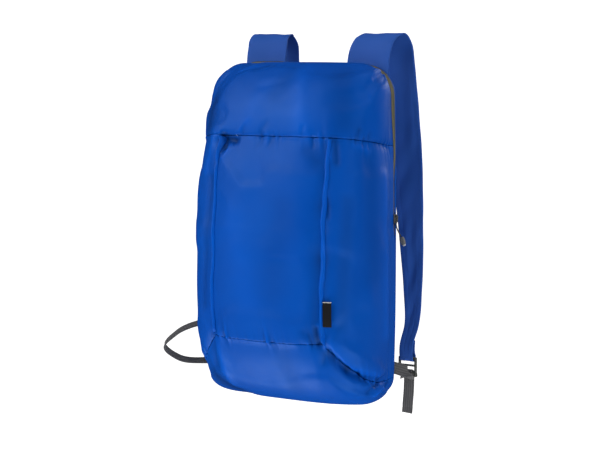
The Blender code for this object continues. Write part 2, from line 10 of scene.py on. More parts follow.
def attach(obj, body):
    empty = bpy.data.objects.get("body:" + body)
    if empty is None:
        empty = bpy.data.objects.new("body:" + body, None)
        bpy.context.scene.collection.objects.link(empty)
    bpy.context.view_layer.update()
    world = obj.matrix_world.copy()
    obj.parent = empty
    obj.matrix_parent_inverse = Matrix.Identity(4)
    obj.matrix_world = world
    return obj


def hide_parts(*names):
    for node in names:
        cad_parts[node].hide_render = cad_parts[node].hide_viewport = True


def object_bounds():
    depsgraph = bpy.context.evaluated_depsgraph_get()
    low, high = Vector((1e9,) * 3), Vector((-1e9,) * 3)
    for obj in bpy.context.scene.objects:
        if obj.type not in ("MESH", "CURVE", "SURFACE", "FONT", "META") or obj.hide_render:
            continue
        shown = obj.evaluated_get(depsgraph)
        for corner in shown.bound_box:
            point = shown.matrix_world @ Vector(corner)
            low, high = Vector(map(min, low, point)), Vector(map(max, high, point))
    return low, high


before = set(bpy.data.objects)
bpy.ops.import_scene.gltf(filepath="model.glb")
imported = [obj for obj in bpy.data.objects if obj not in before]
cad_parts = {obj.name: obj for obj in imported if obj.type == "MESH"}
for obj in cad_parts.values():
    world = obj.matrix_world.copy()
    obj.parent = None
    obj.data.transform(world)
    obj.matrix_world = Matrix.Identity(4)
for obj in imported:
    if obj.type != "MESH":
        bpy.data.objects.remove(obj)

CAD_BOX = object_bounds()
BODY = "root"

# The stuffed bag's sizes, as in the model (metres)
BACK_HEIGHT = 0.411
BACK_WIDTH = 0.250
BODY_DEPTH = 0.121
SWELL = 0.018
TOP_CORNER = 0.036
BOTTOM_CORNER = 0.024
SIDE_ROUNDNESS = 3.1
TOP_ROUNDNESS = 3.2
BOTTOM_ROUNDNESS = 3.8
CLOTH = 0.0015
PIECE_GAP = 0.0004
POCKET_WIDTH = 0.145
POCKET_HEIGHT = 0.2335
POCKET_SHIFT = 0.0065
BASE_HEIGHT = 0.0825
YOKE_DROP = 0.003
BASE_DROP = 0.064
BASE_CURVE = 2.7
POCKET_PUFF = 0.0035
PANEL_PUFF = 0.0030
PAD_BOW = 0.0025
PAD_WIDTH = 0.090
PAD_HEIGHT = 0.250
ZIP_BAND = 0.0085
ZIP_SIDE_BAND = 0.0046
ZIP_WIDENS_FROM = 0.300
ZIP_WIDENS_OVER = 0.060
ZIP_BOTTOM = 0.182
ZIP_RAMP = 0.035
ZIP_STAND_BACK = 0.003
ZIP_PUFF = 0.0012
SLIDER_LENGTH = 0.011
SLIDER_WIDTH = 0.0075
SLIDER_THICKNESS = 0.0036
PULL_CORD = 0.0018
PULL_CORD_LENGTH = 0.0175
PULL_LEAN = radians(24)
PULL_END_LENGTH = 0.0105
PULL_END_WIDTH = 0.0056
LABEL_WIDTH = 0.0100
LABEL_HEIGHT = 0.0290
LABEL_UP = 0.021
STRAP_CLOTH = 0.0018
STRAP_WIDTH = 0.062
STRAP_END_WIDTH = 0.0190
STRAP_INSET = 0.046
STRAP_TAB = 0.034
STRAP_ARCH = 0.041
STRAP_STANDOFF = 0.058
STRAP_SPLAY = 0.046
STRAP_RETURN = 0.022
LEFT_LIFT = 0.050
LEFT_BOW = 0.027
LEFT_TUCK = 0.025
LEFT_STANDOFF = 0.010
LOCK_STANDOFF = 0.034
LOCK_WIDTH = 0.0265
LOCK_RAIL = 0.0030
LOCK_THICKNESS = 0.0036
LOCK_BAR = 0.0026
LOCK_SLOT_STRAP = 0.0068
LOCK_SLOT_WEBBING = 0.0062
LOCK_LUG = 0.0062
LOCK_HEIGHT_ON_BAG = 0.0440
WEBBING_WIDTH = 0.0150
WEBBING = 0.0012
WEBBING_ANCHOR = 0.036
WEBBING_ANCHOR_IN = 0.015
WEBBING_RIGHT_REACH = 0.0245
WEBBING_LEFT_REACH = 0.089
TAIL_RIGHT = 0.053
TAIL_LEFT = 0.035

# Sections of the bag at shares of the back panel's height: shares of its width and of the depth
SECTIONS = (
    # height, width, depth
    (0.00, 0.985, 0.93),
    (0.22, 1.000, 1.00),
    (0.45, 1.000, 0.98),
    (0.70, 0.990, 0.90),
    (0.86, 0.980, 0.80),
    (1.00, 0.965, 0.66),
)
# Broad folds and dents: the ends of each as shares of the half girth and of the half height, its
# half width and its depth as shares of the bag's depth (below zero is a dent)
FOLDS = (
    # across, up, across end, up end, half width, depth
    (0.66, 0.50, 0.62, -0.30, 0.12, -0.016),
    (0.44, -0.49, 0.56, -0.57, 0.06, -0.026),
    (0.56, -0.57, 0.85, -0.64, 0.06, -0.018),
    (0.46, -0.41, 0.75, -0.54, 0.07, 0.016),
    (-0.62, 0.40, -0.60, -0.45, 0.12, -0.014),
    (-0.10, 0.70, 0.30, 0.80, 0.14, -0.005),
    (0.55, 0.66, 0.75, 0.84, 0.10, -0.020),
    (-0.60, 0.62, -0.35, 0.84, 0.12, -0.016),
    (-0.38, 0.44, -0.10, 0.20, 0.14, 0.016),
    (0.20, -0.10, 0.32, -0.42, 0.16, -0.014),
)
# A strap from its crest to its buckle, as shares of the drop, standoff, splay and narrowing
STRAP_SECTIONS = (
    # drop, back, splay, narrowing
    (0.020, 0.25, 0.08, 0.06),
    (0.000, 0.58, 0.18, 0.12),
    (0.030, 0.84, 0.20, 0.16),
    (0.095, 0.93, 0.25, 0.20),
    (0.240, 1.00, 0.38, 0.28),
    (0.420, 1.04, 0.54, 0.40),
    (0.600, 1.02, 0.68, 0.58),
    (0.780, 0.90, 0.86, 0.80),
    (0.900, 0.74, 0.96, 0.95),
)
# The webbing from its anchor, as shares of its reach, and the way that its width faces
WEBBING_RIGHT_ROUTE = (
    # out, back, up, width out, width back, width up
    (0.00, 0.00, 0.00, 0.0, 0.0, 1.0),
    (0.45, 0.04, -0.04, 0.0, 0.0, 1.0),
    (0.78, 0.29, -0.16, -0.2, -0.2, 1.0),
    (1.00, 0.65, -0.33, -0.6, -0.3, 0.8),
)
WEBBING_LEFT_ROUTE = (
    # out, back, up, width out, width back, width up
    (0.000, 0.000, 0.000, 0.0, 0.0, 1.0),
    (0.160, 0.025, -0.030, 0.1, 0.0, 1.0),
    (0.315, -0.045, -0.110, 0.3, 0.6, 0.7),
    (0.607, -0.247, -0.175, 0.5, 0.8, 0.38),
    (0.876, -0.517, -0.115, 0.5, 0.8, 0.36),
    (1.010, -0.660, 0.060, 0.5, 0.8, 0.36),
    (0.885, -0.540, 0.250, 0.5, 0.8, 0.36),
    (0.590, -0.225, 0.415, 0.5, 0.8, 0.36),
    (0.315, 0.112, 0.455, 0.5, 0.75, 0.42),
    (0.112, 0.337, 0.292, 0.8, 0.4, 0.3),
)
HANG = np.array(
    [0, STRAP_STANDOFF * STRAP_SECTIONS[1][1], BACK_HEIGHT + STRAP_ARCH - STRAP_CLOTH / 2]
)

# Creases that only show close up, in millimetres along the cloth: across from the middle and up
# from the middle of the side, the far end, half width, depth (below zero is a dent) and sharpness
CREASES = (
    # across, up, across end, up end, half width, depth, sharpness
    (-65, 107, -60, 97, 5.0, -5.2, 1.8),
    (-60, 107, -46, 105, 5.0, -4.8, 1.8),
    (-62, 92, -66, 78, 3.5, -1.6, 1.6),
    (-50, 100, -58, 84, 4.0, 1.2, 1.8),
    (-78, 108, -90, 70, 7.0, 1.6, 2.0),
    (-74, 60, -82, -80, 6.0, -1.6, 2.0),
    (-44, 112, -30, 128, 3.0, 0.9, 1.5),
    (-36, 111, -34, 122, 2.5, -1.3, 1.5),
    (-13, 111, -4, 124, 4.0, -1.0, 1.6),
    (-10, 110, -12, 100, 3.0, -0.9, 1.6),
    (6, 110, 2, 98, 2.6, -0.9, 1.6),
    (44, 111, 46, 121, 2.4, -1.2, 1.5),
    (58, 110, 60, 101, 2.4, -1.2, 1.5),
    (86, 108, 92, 84, 5.0, -2.6, 1.7),
    (84, 104, 84, 88, 2.4, 1.4, 1.5),
    (116, 109, 118, 122, 3.2, -1.6, 1.6),
    (133, 109, 138, 117, 3.2, -1.2, 1.6),
    (112, 104, 140, 98, 4.0, 1.2, 1.8),
    (190, 105, 150, 108, 3.0, -0.9, 1.6),
    (83, 42, 85, 22, 2.6, -1.5, 1.6),
    (76, -92, 80, -109, 2.6, 1.9, 1.6),
    (85, -96, 80, -108, 2.0, 1.7, 1.6),
    (73, -96, 74, -110, 3.2, -2.0, 1.6),
    (60, -100, 72, -112, 5.0, -1.4, 1.8),
    (88, -112, 112, -140, 5.0, 1.6, 1.8),
    (88, -122, 108, -143, 4.5, -3.0, 1.6),
    (108, -143, 132, -158, 5.0, -2.6, 1.7),
    (120, -142, 170, -158, 6.0, 1.6, 2.0),
    (84, -120, 80, -132, 4.0, -1.8, 1.7),
    (150, -172, 172, -160, 3.6, -3.2, 1.6),
    (128, -178, 146, -170, 3.0, -1.6, 1.6),
    (176, -186, 190, -176, 3.6, -3.6, 1.6),
    (140, -186, 170, -184, 4.0, 2.2, 1.8),
    (-62, -118, -55, -172, 7.0, 1.6, 2.0),
    (-70, -116, -72, -150, 6.0, -1.6, 2.0),
    (30, -126, 34, -160, 14.0, -1.0, 2.0),
    (0, 160, 16, 205, 13.0, -0.8, 2.0),
    (22, 205, 44, 120, 12.0, 1.4, 2.0),
    (80, 190, 96, 130, 20.0, -1.8, 2.0),
    (-52, 208, -72, 196, 4.0, 1.2, 1.8),
    (-34, 209, -46, 198, 3.5, -1.3, 1.7),
    (-20, 168, -30, 128, 12.0, 0.9, 2.0),
    (110, 40, 104, -90, 9.0, -1.2, 2.0),
    (176, 70, 182, -110, 10.0, 1.4, 2.0),
    (142, 90, 150, -40, 16.0, -1.2, 2.0),
    (55, 96, 66, 84, 8.0, -1.2, 2.0),
    (-40, 20, -10, -70, 18.0, 0.9, 2.0),
    (30, 30, 20, -60, 20.0, -0.9, 2.0),
    (-101, 122, -103, 150, 16.0, -3.4, 2.0),
    (-86, -170, -58, -192, 15.0, -3.6, 2.0),
    (74, 100, 80, 34, 9.0, -1.6, 1.3),
    (80, 34, 79, -24, 9.0, -1.6, 1.3),
    (79, -24, 74, -102, 11.0, -2.2, 1.3),
)

# The small gathers at the two seams (metres)
PUCKERS = (
    # seam, seed, depth, reach above, reach below
    ("yoke", 11, 0.0026, 0.004, 0.008),
    ("base", 23, 0.0042, 0.009, 0.004),
)

# The spacings that a row of gathers mixes, the spacing of its stronger stretches and its lean
GATHER_PITCHES = (0.0062, 0.0081, 0.0113, 0.0170)
GATHER_STRETCH = 0.061
GATHER_LEAN = 0.2

# The wide rise or dip of the cloth along a seam (millimetres), and how softly its ends fade
SHOULDER_FADE = 12
SHOULDERS = (
    # seam, depth, reach above, reach below, across from, across to
    ("yoke", -2.2, 16, 13, -68, 78),
    ("yoke", -1.2, 10, 9, 84, 230),
    ("base", 3.8, 13, 26, -66, 80),
)

# Camera, fitted to the photograph's outline
CAMERA_AZIMUTH = 35.7
CAMERA_ELEVATION = 4.71
CAMERA_ROLL = 0.27
CAMERA_DISTANCE = 2.384
CAMERA_LENS = 113.8
CAMERA_SHIFT = (0.0235, 0.0087)
CAMERA_TARGET = np.array([0, -0.06, BACK_HEIGHT / 2]) - HANG

# The white sky, darker towards one side, and soft square lights round the bag
SKY_STRENGTH = 0.22
DARK_AZIMUTH = -136
LIGHT_DISTANCE = 2.6
LIGHT_SIZE = 1.3
LIGHTS = (
    # azimuth, elevation, power
    (-60, 30, 3),
    (-42, 14, 12),
    (-42, 38, 23),
    (52, 14, 7),
    (75, 42, 8),
    (160, 25, 14),
    (185, 20, 9),
    (60, 70, 11),
    (-36, -54, 38),
    (60, -35, 30),
    (100, -30, 3.5),
)

# How far the right buckle sits inwards of the model's place
RIGHT_SHIFT = 0.0016

# How far the zip stands up at the top left, left of and above a place, and is sunk at the sides
ZIP_LIFT = 0.0046
ZIP_LIFT_LEFT_OF = 0.02
ZIP_LIFT_ABOVE = 0.36
ZIP_RECESS = 0.0022
ZIP_FADE = 0.03

# The fine grid of the cloth and its rolled seam edges
GRID = 0.0021
ROLL = 0.0017
ROLL_DEPTH = 0.0005

# The coarse grid that is blown up, how much of its movement is kept and the cap on that
SIM_COLUMNS = 76
SIM_ROWS = 108
SIM_FRAMES = 24
SIM_BROAD = 5
SIM_SOFT = 0.8
SIM_KEPT = 0.6
SIM_CAP = 0.0013
SIM_SETTINGS = {
    "quality": 6,
    "mass": 0.15,
    "tension_stiffness": 25,
    "compression_stiffness": 25,
    "shear_stiffness": 8,
    "bending_stiffness": 3.0,
    "use_pressure": True,
    "uniform_pressure_force": 1.0,
    "vertex_group_mass": "pinned",
    "vertex_group_shrink": "drawn_in",
    "shrink_min": -0.012,
    "shrink_max": 0.03,
}

# The folded edge along the pocket, with its section as shares of its half width and height
WELT_HALF = 0.0024
WELT_HEIGHT = 0.0024
WELT_ABOVE_BASE = 0.0030
WELT_BELOW_YOKE = 0.0015
WELT_PROFILE = (
    # across, up
    (-1.25, -0.55),
    (-0.95, -0.15),
    (-0.65, 0.60),
    (-0.30, 1.05),
    (0.20, 1.10),
    (0.65, 0.80),
    (1.00, 0.25),
    (1.20, -0.15),
)

# Stitched edges, and the ribs of the webbing
HEM_WIDTH = 0.0065
HEM_HEIGHT = 0.00018
STITCH_DEPTH = 0.00020
WEBBING_EDGE = 0.00022
WEBBING_RIB = 0.00010
WEBBING_HEM = 0.00045
WEBBING_HEM_LENGTH = 0.010
BACK_HEM = 0.008
BACK_STITCH = 0.0006

# The teeth of the zip
COIL_PITCH = 0.0017
COIL_TOOTH = (0.00105, 0.0030, 0.0011)

# Colours, as pairs that a material mixes, and the colour of the cloth's gloss
CLOTH_BLUES = ((0, 0.066, 0.405), (0, 0.074, 0.435))
CLOTH_GLOSS = (0.20, 0.48, 1.0)
STRAP_BLUES = ((0.024, 0.090, 0.38), (0.030, 0.102, 0.42))
TAPE_OLIVES = ((0.13, 0.12, 0.065), (0.17, 0.155, 0.09))
COIL_OLIVES = ((0.07, 0.065, 0.035), (0.10, 0.09, 0.05))
METAL_GREYS = ((0.05, 0.05, 0.05), (0.07, 0.07, 0.07))
CORD_GREYS = ((0.03, 0.03, 0.03), (0.05, 0.05, 0.05))
GRIP_GREYS = ((0.10, 0.105, 0.10), (0.14, 0.14, 0.135))
# The pull's tip is pale grey as a painted highlight
TIP_GLINT_GREYS = ((0.45, 0.45, 0.44), (0.55, 0.55, 0.54))
WEBBING_GREYS = ((0.056, 0.056, 0.058), (0.125, 0.125, 0.130))
LOCK_GREYS = ((0.055, 0.060, 0.055), (0.075, 0.08, 0.07))
LABEL_BLACK = (0.004, 0.004, 0.005)
LABEL_LINE = (0.55, 0.55, 0.56)

# Painted shade and sheen: how much the cloth's colour is darkened in its hollows and lightened on its
# crests, and their depth
FOLD_SHADE_AND_SHEEN = 0.55
FOLD_SHADE_DEPTH = 0.004
# The depth given to the whole welt, which lightens its colour as a painted highlight along the ridge
WELT_SHEEN_DEPTH = 0.0011


def linked(name, data):
    made = bpy.data.objects.new(name, data)
    bpy.context.scene.collection.objects.link(made)
    return made


def way_out(azimuth, elevation):
    """The direction from the target at an azimuth and an elevation in degrees."""
    turn, rise = radians(azimuth), radians(elevation)
    return Vector((sin(turn) * cos(rise), -cos(turn) * cos(rise), sin(rise)))


def add_camera():
    turn = radians(CAMERA_AZIMUTH)
    back = way_out(CAMERA_AZIMUTH, CAMERA_ELEVATION)
    right = Vector((cos(turn), sin(turn), 0))
    up = back.cross(right)
    roll = radians(CAMERA_ROLL)
    turned_right = right * cos(roll) + up * sin(roll)
    turned_up = back.cross(turned_right)
    data = bpy.data.cameras.new("camera")
    data.lens = CAMERA_LENS
    data.sensor_width = 36
    data.shift_x, data.shift_y = CAMERA_SHIFT
    camera = linked("camera", data)
    facing = Matrix((turned_right, turned_up, back)).transposed().to_4x4()
    place = Vector(CAMERA_TARGET) + back * CAMERA_DISTANCE
    camera.matrix_world = Matrix.Translation(place) @ facing
    bpy.context.scene.camera = camera


# The bag's form

def smoothstep(share):
    """A soft step from 0 to 1."""
    share = np.clip(share, 0, 1)
    return share * share * (3 - 2 * share)


def smooth_rows(rows, steps):
    """Points on a smooth curve through the rows, with the given steps between two of them."""
    rows = np.array(rows, float)
    padded = np.vstack([2 * rows[0] - rows[1], rows, 2 * rows[-1] - rows[-2]])
    made = []
    for before, start, end, after in zip(padded, padded[1:], padded[2:], padded[3:]):
        spans = ((before, start), (start, end), (end, after))
        back, here, ahead = (np.linalg.norm((q - p)[:3]) for p, q in spans)
        slope_start = ((start - before) / back * here**2 + (end - start) * back) / (back + here)
        slope_end = ((end - start) * ahead + (after - end) / ahead * here**2) / (here + ahead)
        for t in np.arange(steps) / steps:
            made.append(
                (2 * t**3 - 3 * t**2 + 1) * start
                + (t**3 - 2 * t**2 + t) * slope_start
                + (3 * t**2 - 2 * t**3) * end
                + (t**3 - t**2) * slope_end
            )
    made.append(rows[-1])
    return np.array(made)


class Quarter:
    """A quarter of a superellipse from the middle of a face (0) to its rim (1), by arc length."""

    def __init__(self, roundness, reach, depth):
        turn = np.linspace(0, pi / 2, 600)
        self.across = np.sin(turn) ** (2 / roundness)
        self.depth = np.cos(turn) ** (2 / roundness)
        self.across[0] = 0
        self.depth[-1] = 0
        steps = np.hypot(np.diff(self.across) * reach, np.diff(self.depth) * depth)
        self.run = np.concatenate([[0], np.cumsum(steps)])
        self.length = self.run[-1]
        self.run = self.run / self.length

    def at(self, share):
        share = np.minimum(np.abs(share), 1)
        return np.interp(share, self.run, self.across), np.interp(share, self.run, self.depth)

    def share_of(self, across):
        return np.interp(across, self.across, self.run)


SIDE = Quarter(SIDE_ROUNDNESS, BACK_WIDTH / 2, BODY_DEPTH)
TOP = Quarter(TOP_ROUNDNESS, BACK_HEIGHT / 2, BODY_DEPTH * 0.8)
BOTTOM = Quarter(BOTTOM_ROUNDNESS, BACK_HEIGHT / 2, BODY_DEPTH)
SECTION_CURVE = smooth_rows(SECTIONS, 8)


def section(height_share):
    width = np.interp(height_share, SECTION_CURVE[:, 0], SECTION_CURVE[:, 1])
    depth = np.interp(height_share, SECTION_CURVE[:, 0], SECTION_CURVE[:, 2])
    return width, depth


def outline_point(across, up):
    """A point of the back panel's plane, where 1 is its edge: a rectangle with round corners."""
    half_height = BACK_HEIGHT / 2
    half_width = BACK_WIDTH / 2 * section((up + 1) / 2)[0]
    x = np.abs(across) * half_width
    z = np.abs(up) * half_height
    corner = np.where(up > 0, TOP_CORNER, BOTTOM_CORNER)
    over_x = (x - half_width + corner) / corner
    over_z = (z - half_height + corner) / corner
    inside = (over_x > 0) & (over_z > 0)
    round_x = half_width - corner + corner * over_x * np.sqrt(np.maximum(1 - over_z**2 / 2, 0))
    round_z = half_height - corner + corner * over_z * np.sqrt(np.maximum(1 - over_x**2 / 2, 0))
    x = np.where(inside, round_x, x)
    z = np.where(inside, round_z, z)
    return np.where(across > 0, x, -x), half_height + np.where(up > 0, z, -z)


def zip_width(z):
    """How deep the band of the zip is at a height, or the gap where the zip has ended."""
    opened = smoothstep((z - ZIP_BOTTOM) / ZIP_RAMP)
    widened = smoothstep((z - ZIP_WIDENS_FROM) / ZIP_WIDENS_OVER)
    return PIECE_GAP + (ZIP_SIDE_BAND - PIECE_GAP) * opened + (ZIP_BAND - ZIP_SIDE_BAND) * widened


def rise_at(b):
    """The share of the half height and of the depth at a b, above and below the middle."""
    upper, lower = TOP.at(b), BOTTOM.at(b)
    return np.where(b > 0, upper[0], lower[0]), np.where(b > 0, upper[1], lower[1])


def smooth_shell(a, b):
    """The stuffed form without folds: a runs from side to side and b from bottom to top, -1 to 1."""
    across, side_depth = SIDE.at(a)
    up, end_depth = rise_at(b)
    x, z = outline_point(np.where(a > 0, across, -across), np.where(b > 0, up, -up))
    full = section(np.where(b > 0, up, -up) / 2 + 0.5)[1] * BODY_DEPTH
    x = x + np.where(a > 0, 1, -1) * SWELL * across * side_depth * end_depth
    z = z + np.where(b > 0, 1, -1) * SWELL * up * end_depth * side_depth
    band = zip_width(z)
    return np.stack([x, -band - (full - band) * side_depth * end_depth, z], -1)


def unit(vectors):
    return vectors / np.maximum(np.linalg.norm(vectors, axis=-1, keepdims=True), 1e-12)


def normal_at(surface, a, b):
    """The way out of a surface over a and b."""
    step = 0.004
    along = surface(np.minimum(a + step, 1), b) - surface(np.maximum(a - step, -1), b)
    rise = surface(a, np.minimum(b + step, 1)) - surface(a, np.maximum(b - step, -1))
    return unit(np.cross(along, rise))


def pocket_edge(a):
    """How far out in a the pocket's upright edge is, on the side that a lies on."""
    shift = POCKET_SHIFT / SIDE.length
    return float(SIDE.share_of(POCKET_WIDTH / BACK_WIDTH)) + np.where(np.asarray(a) > 0, shift, -shift)


def up_share(z):
    """The shell's b at which its rim or front lies at a height above the bottom."""
    up = z / (BACK_HEIGHT / 2) - 1
    return float(TOP.share_of(up)) if up > 0 else -float(BOTTOM.share_of(-up))


POCKET_LOW = up_share(BASE_HEIGHT)
POCKET_HIGH = up_share(BASE_HEIGHT + POCKET_HEIGHT)


def beyond_pocket(a):
    edge = pocket_edge(a)
    return np.maximum(np.abs(a) - edge, 0) / (1 - edge)


def yoke_seam(a):
    """The b of the seam above the pocket, which drops a little beside it."""
    return POCKET_HIGH - YOKE_DROP / TOP.length * smoothstep(beyond_pocket(a))


def base_seam(a):
    """The b of the seam below the pocket, which curves down beside it."""
    return POCKET_LOW - BASE_DROP / BOTTOM.length * (1 - (1 - beyond_pocket(a)) ** BASE_CURVE)


SEAMS = {"yoke": yoke_seam, "base": base_seam}


def share_within(value, low, high):
    return np.clip((2 * value - low - high) / (high - low), -1, 1)


def puff(a, b):
    """How far each panel swells between its seams."""
    yoke, base = yoke_seam(a), base_seam(a)
    middle = share_within(b, base, yoke)
    edge = pocket_edge(a)
    inside = np.abs(a) < edge
    beside = share_within(np.abs(a), edge, 1)
    up = np.where(b > yoke, share_within(b, yoke, 1), np.where(b < base, share_within(b, -1, base), middle))
    across = np.where((b > yoke) | (b < base), a, np.where(inside, a / edge, beside))
    height = np.where(inside & (b < yoke) & (b > base), POCKET_PUFF, PANEL_PUFF)
    return height * (1 - across**4) * (1 - up**4)


def along_cloth(a, b):
    """How far a place lies from the middle along the cloth, sideways and up, in metres."""
    return a * SIDE.length, b * TOP.length


def ridge(place_a, place_b, start, end, half_width, sharpness=2.0):
    """1 along the line between two places of the cloth, fading to 0 across the half width."""
    run = np.array(end) - np.array(start)
    away_a, away_b = place_a - start[0], place_b - start[1]
    share = np.clip((away_a * run[0] + away_b * run[1]) / (run @ run), 0, 1)
    away = np.hypot(away_a - run[0] * share, away_b - run[1] * share)
    return np.exp(-((away / half_width) ** sharpness))


def folds(a, b):
    """The depth of all folds and dents at a place."""
    place_a, place_b = along_cloth(a, b)
    total = 0
    for across, up, across_end, up_end, half_width, depth in FOLDS:
        start, end = along_cloth(across, up), along_cloth(across_end, up_end)
        line = ridge(place_a, place_b, start, end, half_width * BODY_DEPTH)
        total = total + depth * BODY_DEPTH * line
    return total


def rim_fade(a, b, reach):
    """0 at the rim of the shell, rising to 1 over a reach."""
    return smoothstep((1 - np.abs(a)) / reach) * smoothstep((1 - np.abs(b)) / reach)


def shell_point(a, b):
    """The stuffed form with its panels' swell and its broad folds."""
    out = normal_at(smooth_shell, a, b)
    lift = (puff(a, b) + folds(a, b)) * rim_fade(a, b, 0.12)
    return smooth_shell(a, b) + out * lift[..., None]


# Wrinkles

def blurred(field, spread):
    """A field smoothed by a bell of a spread in grid steps, with its edge values carried out."""
    reach = int(spread * 3)
    bell = np.exp(-(np.arange(-reach, reach + 1) ** 2) / (2 * spread**2))
    bell /= bell.sum()
    for axis in (0, 1):
        widths = [(reach, reach) if axis == k else (0, 0) for k in range(2)]
        wide = np.pad(field, widths, mode="edge")
        field = sum(np.take(wide, range(k, k + field.shape[axis]), axis) * w for k, w in enumerate(bell))
    return field


def seam_weight(a, b):
    """How near a place is to a seam, 1 on the seam."""
    place_a, place_b = along_cloth(a, b)
    yoke = np.abs(place_b - yoke_seam(a) * TOP.length)
    base = np.abs(place_b - base_seam(a) * TOP.length)
    inside = (b < yoke_seam(a)) & (b > base_seam(a))
    edge = np.where(inside, np.abs(np.abs(place_a) - pocket_edge(a) * SIDE.length), 1)
    near = np.minimum(np.minimum(yoke, base), edge)
    return np.exp(-((near / 0.006) ** 2))


def blown_up():
    """Fine swells and hollows of the cloth on a coarse grid, from a cloth simulation.

    The pressure blows the cloth up far more than real stuffing does, so only the fine part of its
    movement is kept, and that is capped.
    """
    a, b = np.meshgrid(np.linspace(-1, 1, SIM_COLUMNS + 1), np.linspace(-1, 1, SIM_ROWS + 1))
    rest = shell_point(a, b)
    made = grid_piece("blown_up", rest)
    pinned = made.vertex_groups.new(name="pinned")
    drawn_in = made.vertex_groups.new(name="drawn_in")
    weights = seam_weight(a, b)
    rim = (np.abs(a) > 0.999) | (np.abs(b) > 0.999)
    for number, (held, weight) in enumerate(zip(rim.ravel(), weights.ravel())):
        if held:
            pinned.add([number], 1, "REPLACE")
        drawn_in.add([number], float(weight), "REPLACE")
    cloth = made.modifiers.new("cloth", "CLOTH")
    for setting, value in SIM_SETTINGS.items():
        setattr(cloth.settings, setting, value)
    cloth.settings.effector_weights.gravity = 0
    cloth.point_cache.frame_start = 1
    cloth.point_cache.frame_end = SIM_FRAMES
    scene = bpy.context.scene
    for number in range(1, SIM_FRAMES + 1):
        scene.frame_set(number)
    settled = made.evaluated_get(bpy.context.evaluated_depsgraph_get()).data
    found = np.empty(len(settled.vertices) * 3)
    settled.vertices.foreach_get("co", found)
    scene.frame_set(1)
    bpy.data.objects.remove(made)
    outward = np.sum((found.reshape(rest.shape) - rest) * normal_at(shell_point, a, b), -1)
    fine = outward - blurred(outward, SIM_BROAD)
    return SIM_CAP * np.tanh(blurred(fine, SIM_SOFT) * SIM_KEPT / SIM_CAP) * rim_fade(a, b, 0.10)


def smooth_lookup(field, a, b):
    """A field on the coarse grid read between its points by a smooth cubic."""
    rows, columns = field.shape
    at_column = (np.asarray(a) + 1) / 2 * (columns - 1)
    at_row = (np.asarray(b) + 1) / 2 * (rows - 1)
    column, row = np.floor(at_column).astype(int), np.floor(at_row).astype(int)
    found = 0
    for row_step, row_weight in enumerate(cubic_weights(at_row - row)):
        for column_step, column_weight in enumerate(cubic_weights(at_column - column)):
            near_row = np.clip(row + row_step - 1, 0, rows - 1)
            near_column = np.clip(column + column_step - 1, 0, columns - 1)
            found = found + field[near_row, near_column] * row_weight * column_weight
    return found


def cubic_weights(t):
    return (
        (1 - t) ** 3 / 6,
        (3 * t**3 - 6 * t**2 + 4) / 6,
        (-3 * t**3 + 3 * t**2 + 3 * t + 1) / 6,
        t**3 / 6,
    )


def gathers(place, seed):
    """Small uneven gathers along a seam, -1 to 1, by the place along it in metres."""
    chance = np.random.default_rng(seed)
    total = 0
    for pitch in GATHER_PITCHES:
        total = total + np.cos(2 * pi * (place / pitch + chance.random())) * chance.uniform(0.6, 1)
    swell = 0.55 + 0.45 * np.cos(2 * pi * (place / GATHER_STRETCH + chance.random()))
    return total / 3.2 * swell


def puckers(a, b):
    """How far the seams' gathers lift or sink the cloth."""
    place_a, place_b = along_cloth(a, b)
    total = 0
    for seam, seed, depth, above, below in PUCKERS:
        away = place_b - SEAMS[seam](a) * TOP.length
        reach = np.where(away > 0, above, below)
        row = gathers(place_a + away * GATHER_LEAN, seed)
        total = total + depth * row * np.exp(-np.abs(away) / reach)
    return total


def shoulders(a, b):
    """The cloth drawn in along the yoke seam, and pushed out along the pocket's lower seam."""
    place_a, place_b = along_cloth(a, b)
    total = 0
    for seam, depth, above, below, start, end in SHOULDERS:
        away = place_b - SEAMS[seam](a) * TOP.length
        reach = np.where(away > 0, above, below) / 1000
        started = smoothstep((place_a * 1000 - start) / SHOULDER_FADE)
        within = started * smoothstep((end - place_a * 1000) / SHOULDER_FADE)
        total = total + depth / 1000 * np.exp(-np.abs(away) / reach) * within
    return total


def creases(a, b):
    """How far the pleats and creases lift or sink the cloth."""
    place_a, place_b = along_cloth(a, b)
    total = 0
    for across, up, across_end, up_end, half_width, depth, sharpness in CREASES:
        start = (across / 1000, up / 1000)
        end = (across_end / 1000, up_end / 1000)
        total = total + depth / 1000 * ridge(place_a, place_b, start, end, half_width / 1000, sharpness)
    return total


def cloth_point(a, b):
    """The finished front surface."""
    lift = puckers(a, b) + shoulders(a, b) + creases(a, b) + smooth_lookup(BLOWN, a, b)
    return shell_point(a, b) + normal_at(shell_point, a, b) * (lift * rim_fade(a, b, 0.05))[..., None]


# Meshes

def grid_piece(name, points, uvs=None, closed=False):
    """A surface through a grid of points, with a UV place in metres for each of them."""
    rows, columns = points.shape[:2]
    index = np.arange(rows * columns).reshape(rows, columns)
    if closed:
        index = np.hstack([index, index[:, :1]])
    faces = np.stack([index[:-1, :-1], index[:-1, 1:], index[1:, 1:], index[1:, :-1]], -1).reshape(-1, 4)
    mesh = bpy.data.meshes.new(name)
    mesh.from_pydata((points.reshape(-1, 3) - HANG).tolist(), [], faces.tolist())
    mesh.shade_smooth()
    if uvs is not None:
        layer = mesh.uv_layers.new(name="UVMap")
        layer.data.foreach_set("uv", uvs.reshape(-1, 2)[faces.ravel()].astype(np.float32).ravel())
    return linked(name, mesh)


def dressed(made, look, nodes=(), wall=0.0, offset=-1.0):
    made.data.materials.clear()
    made.data.materials.append(look)
    if wall:
        thick = made.modifiers.new("wall", "SOLIDIFY")
        thick.thickness = wall
        thick.offset = offset
        thick.use_even_offset = False
    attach(made, BODY)
    if nodes:
        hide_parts(*nodes)
    return made


def run_length(points):
    """How far along the line through the points each of them lies."""
    return np.concatenate([[0], np.cumsum(np.linalg.norm(np.diff(points, axis=0), axis=-1))])


def between(low, high, share):
    """A value between low (share -1) and high (share 1)."""
    return low + (high - low) * (share + 1) / 2


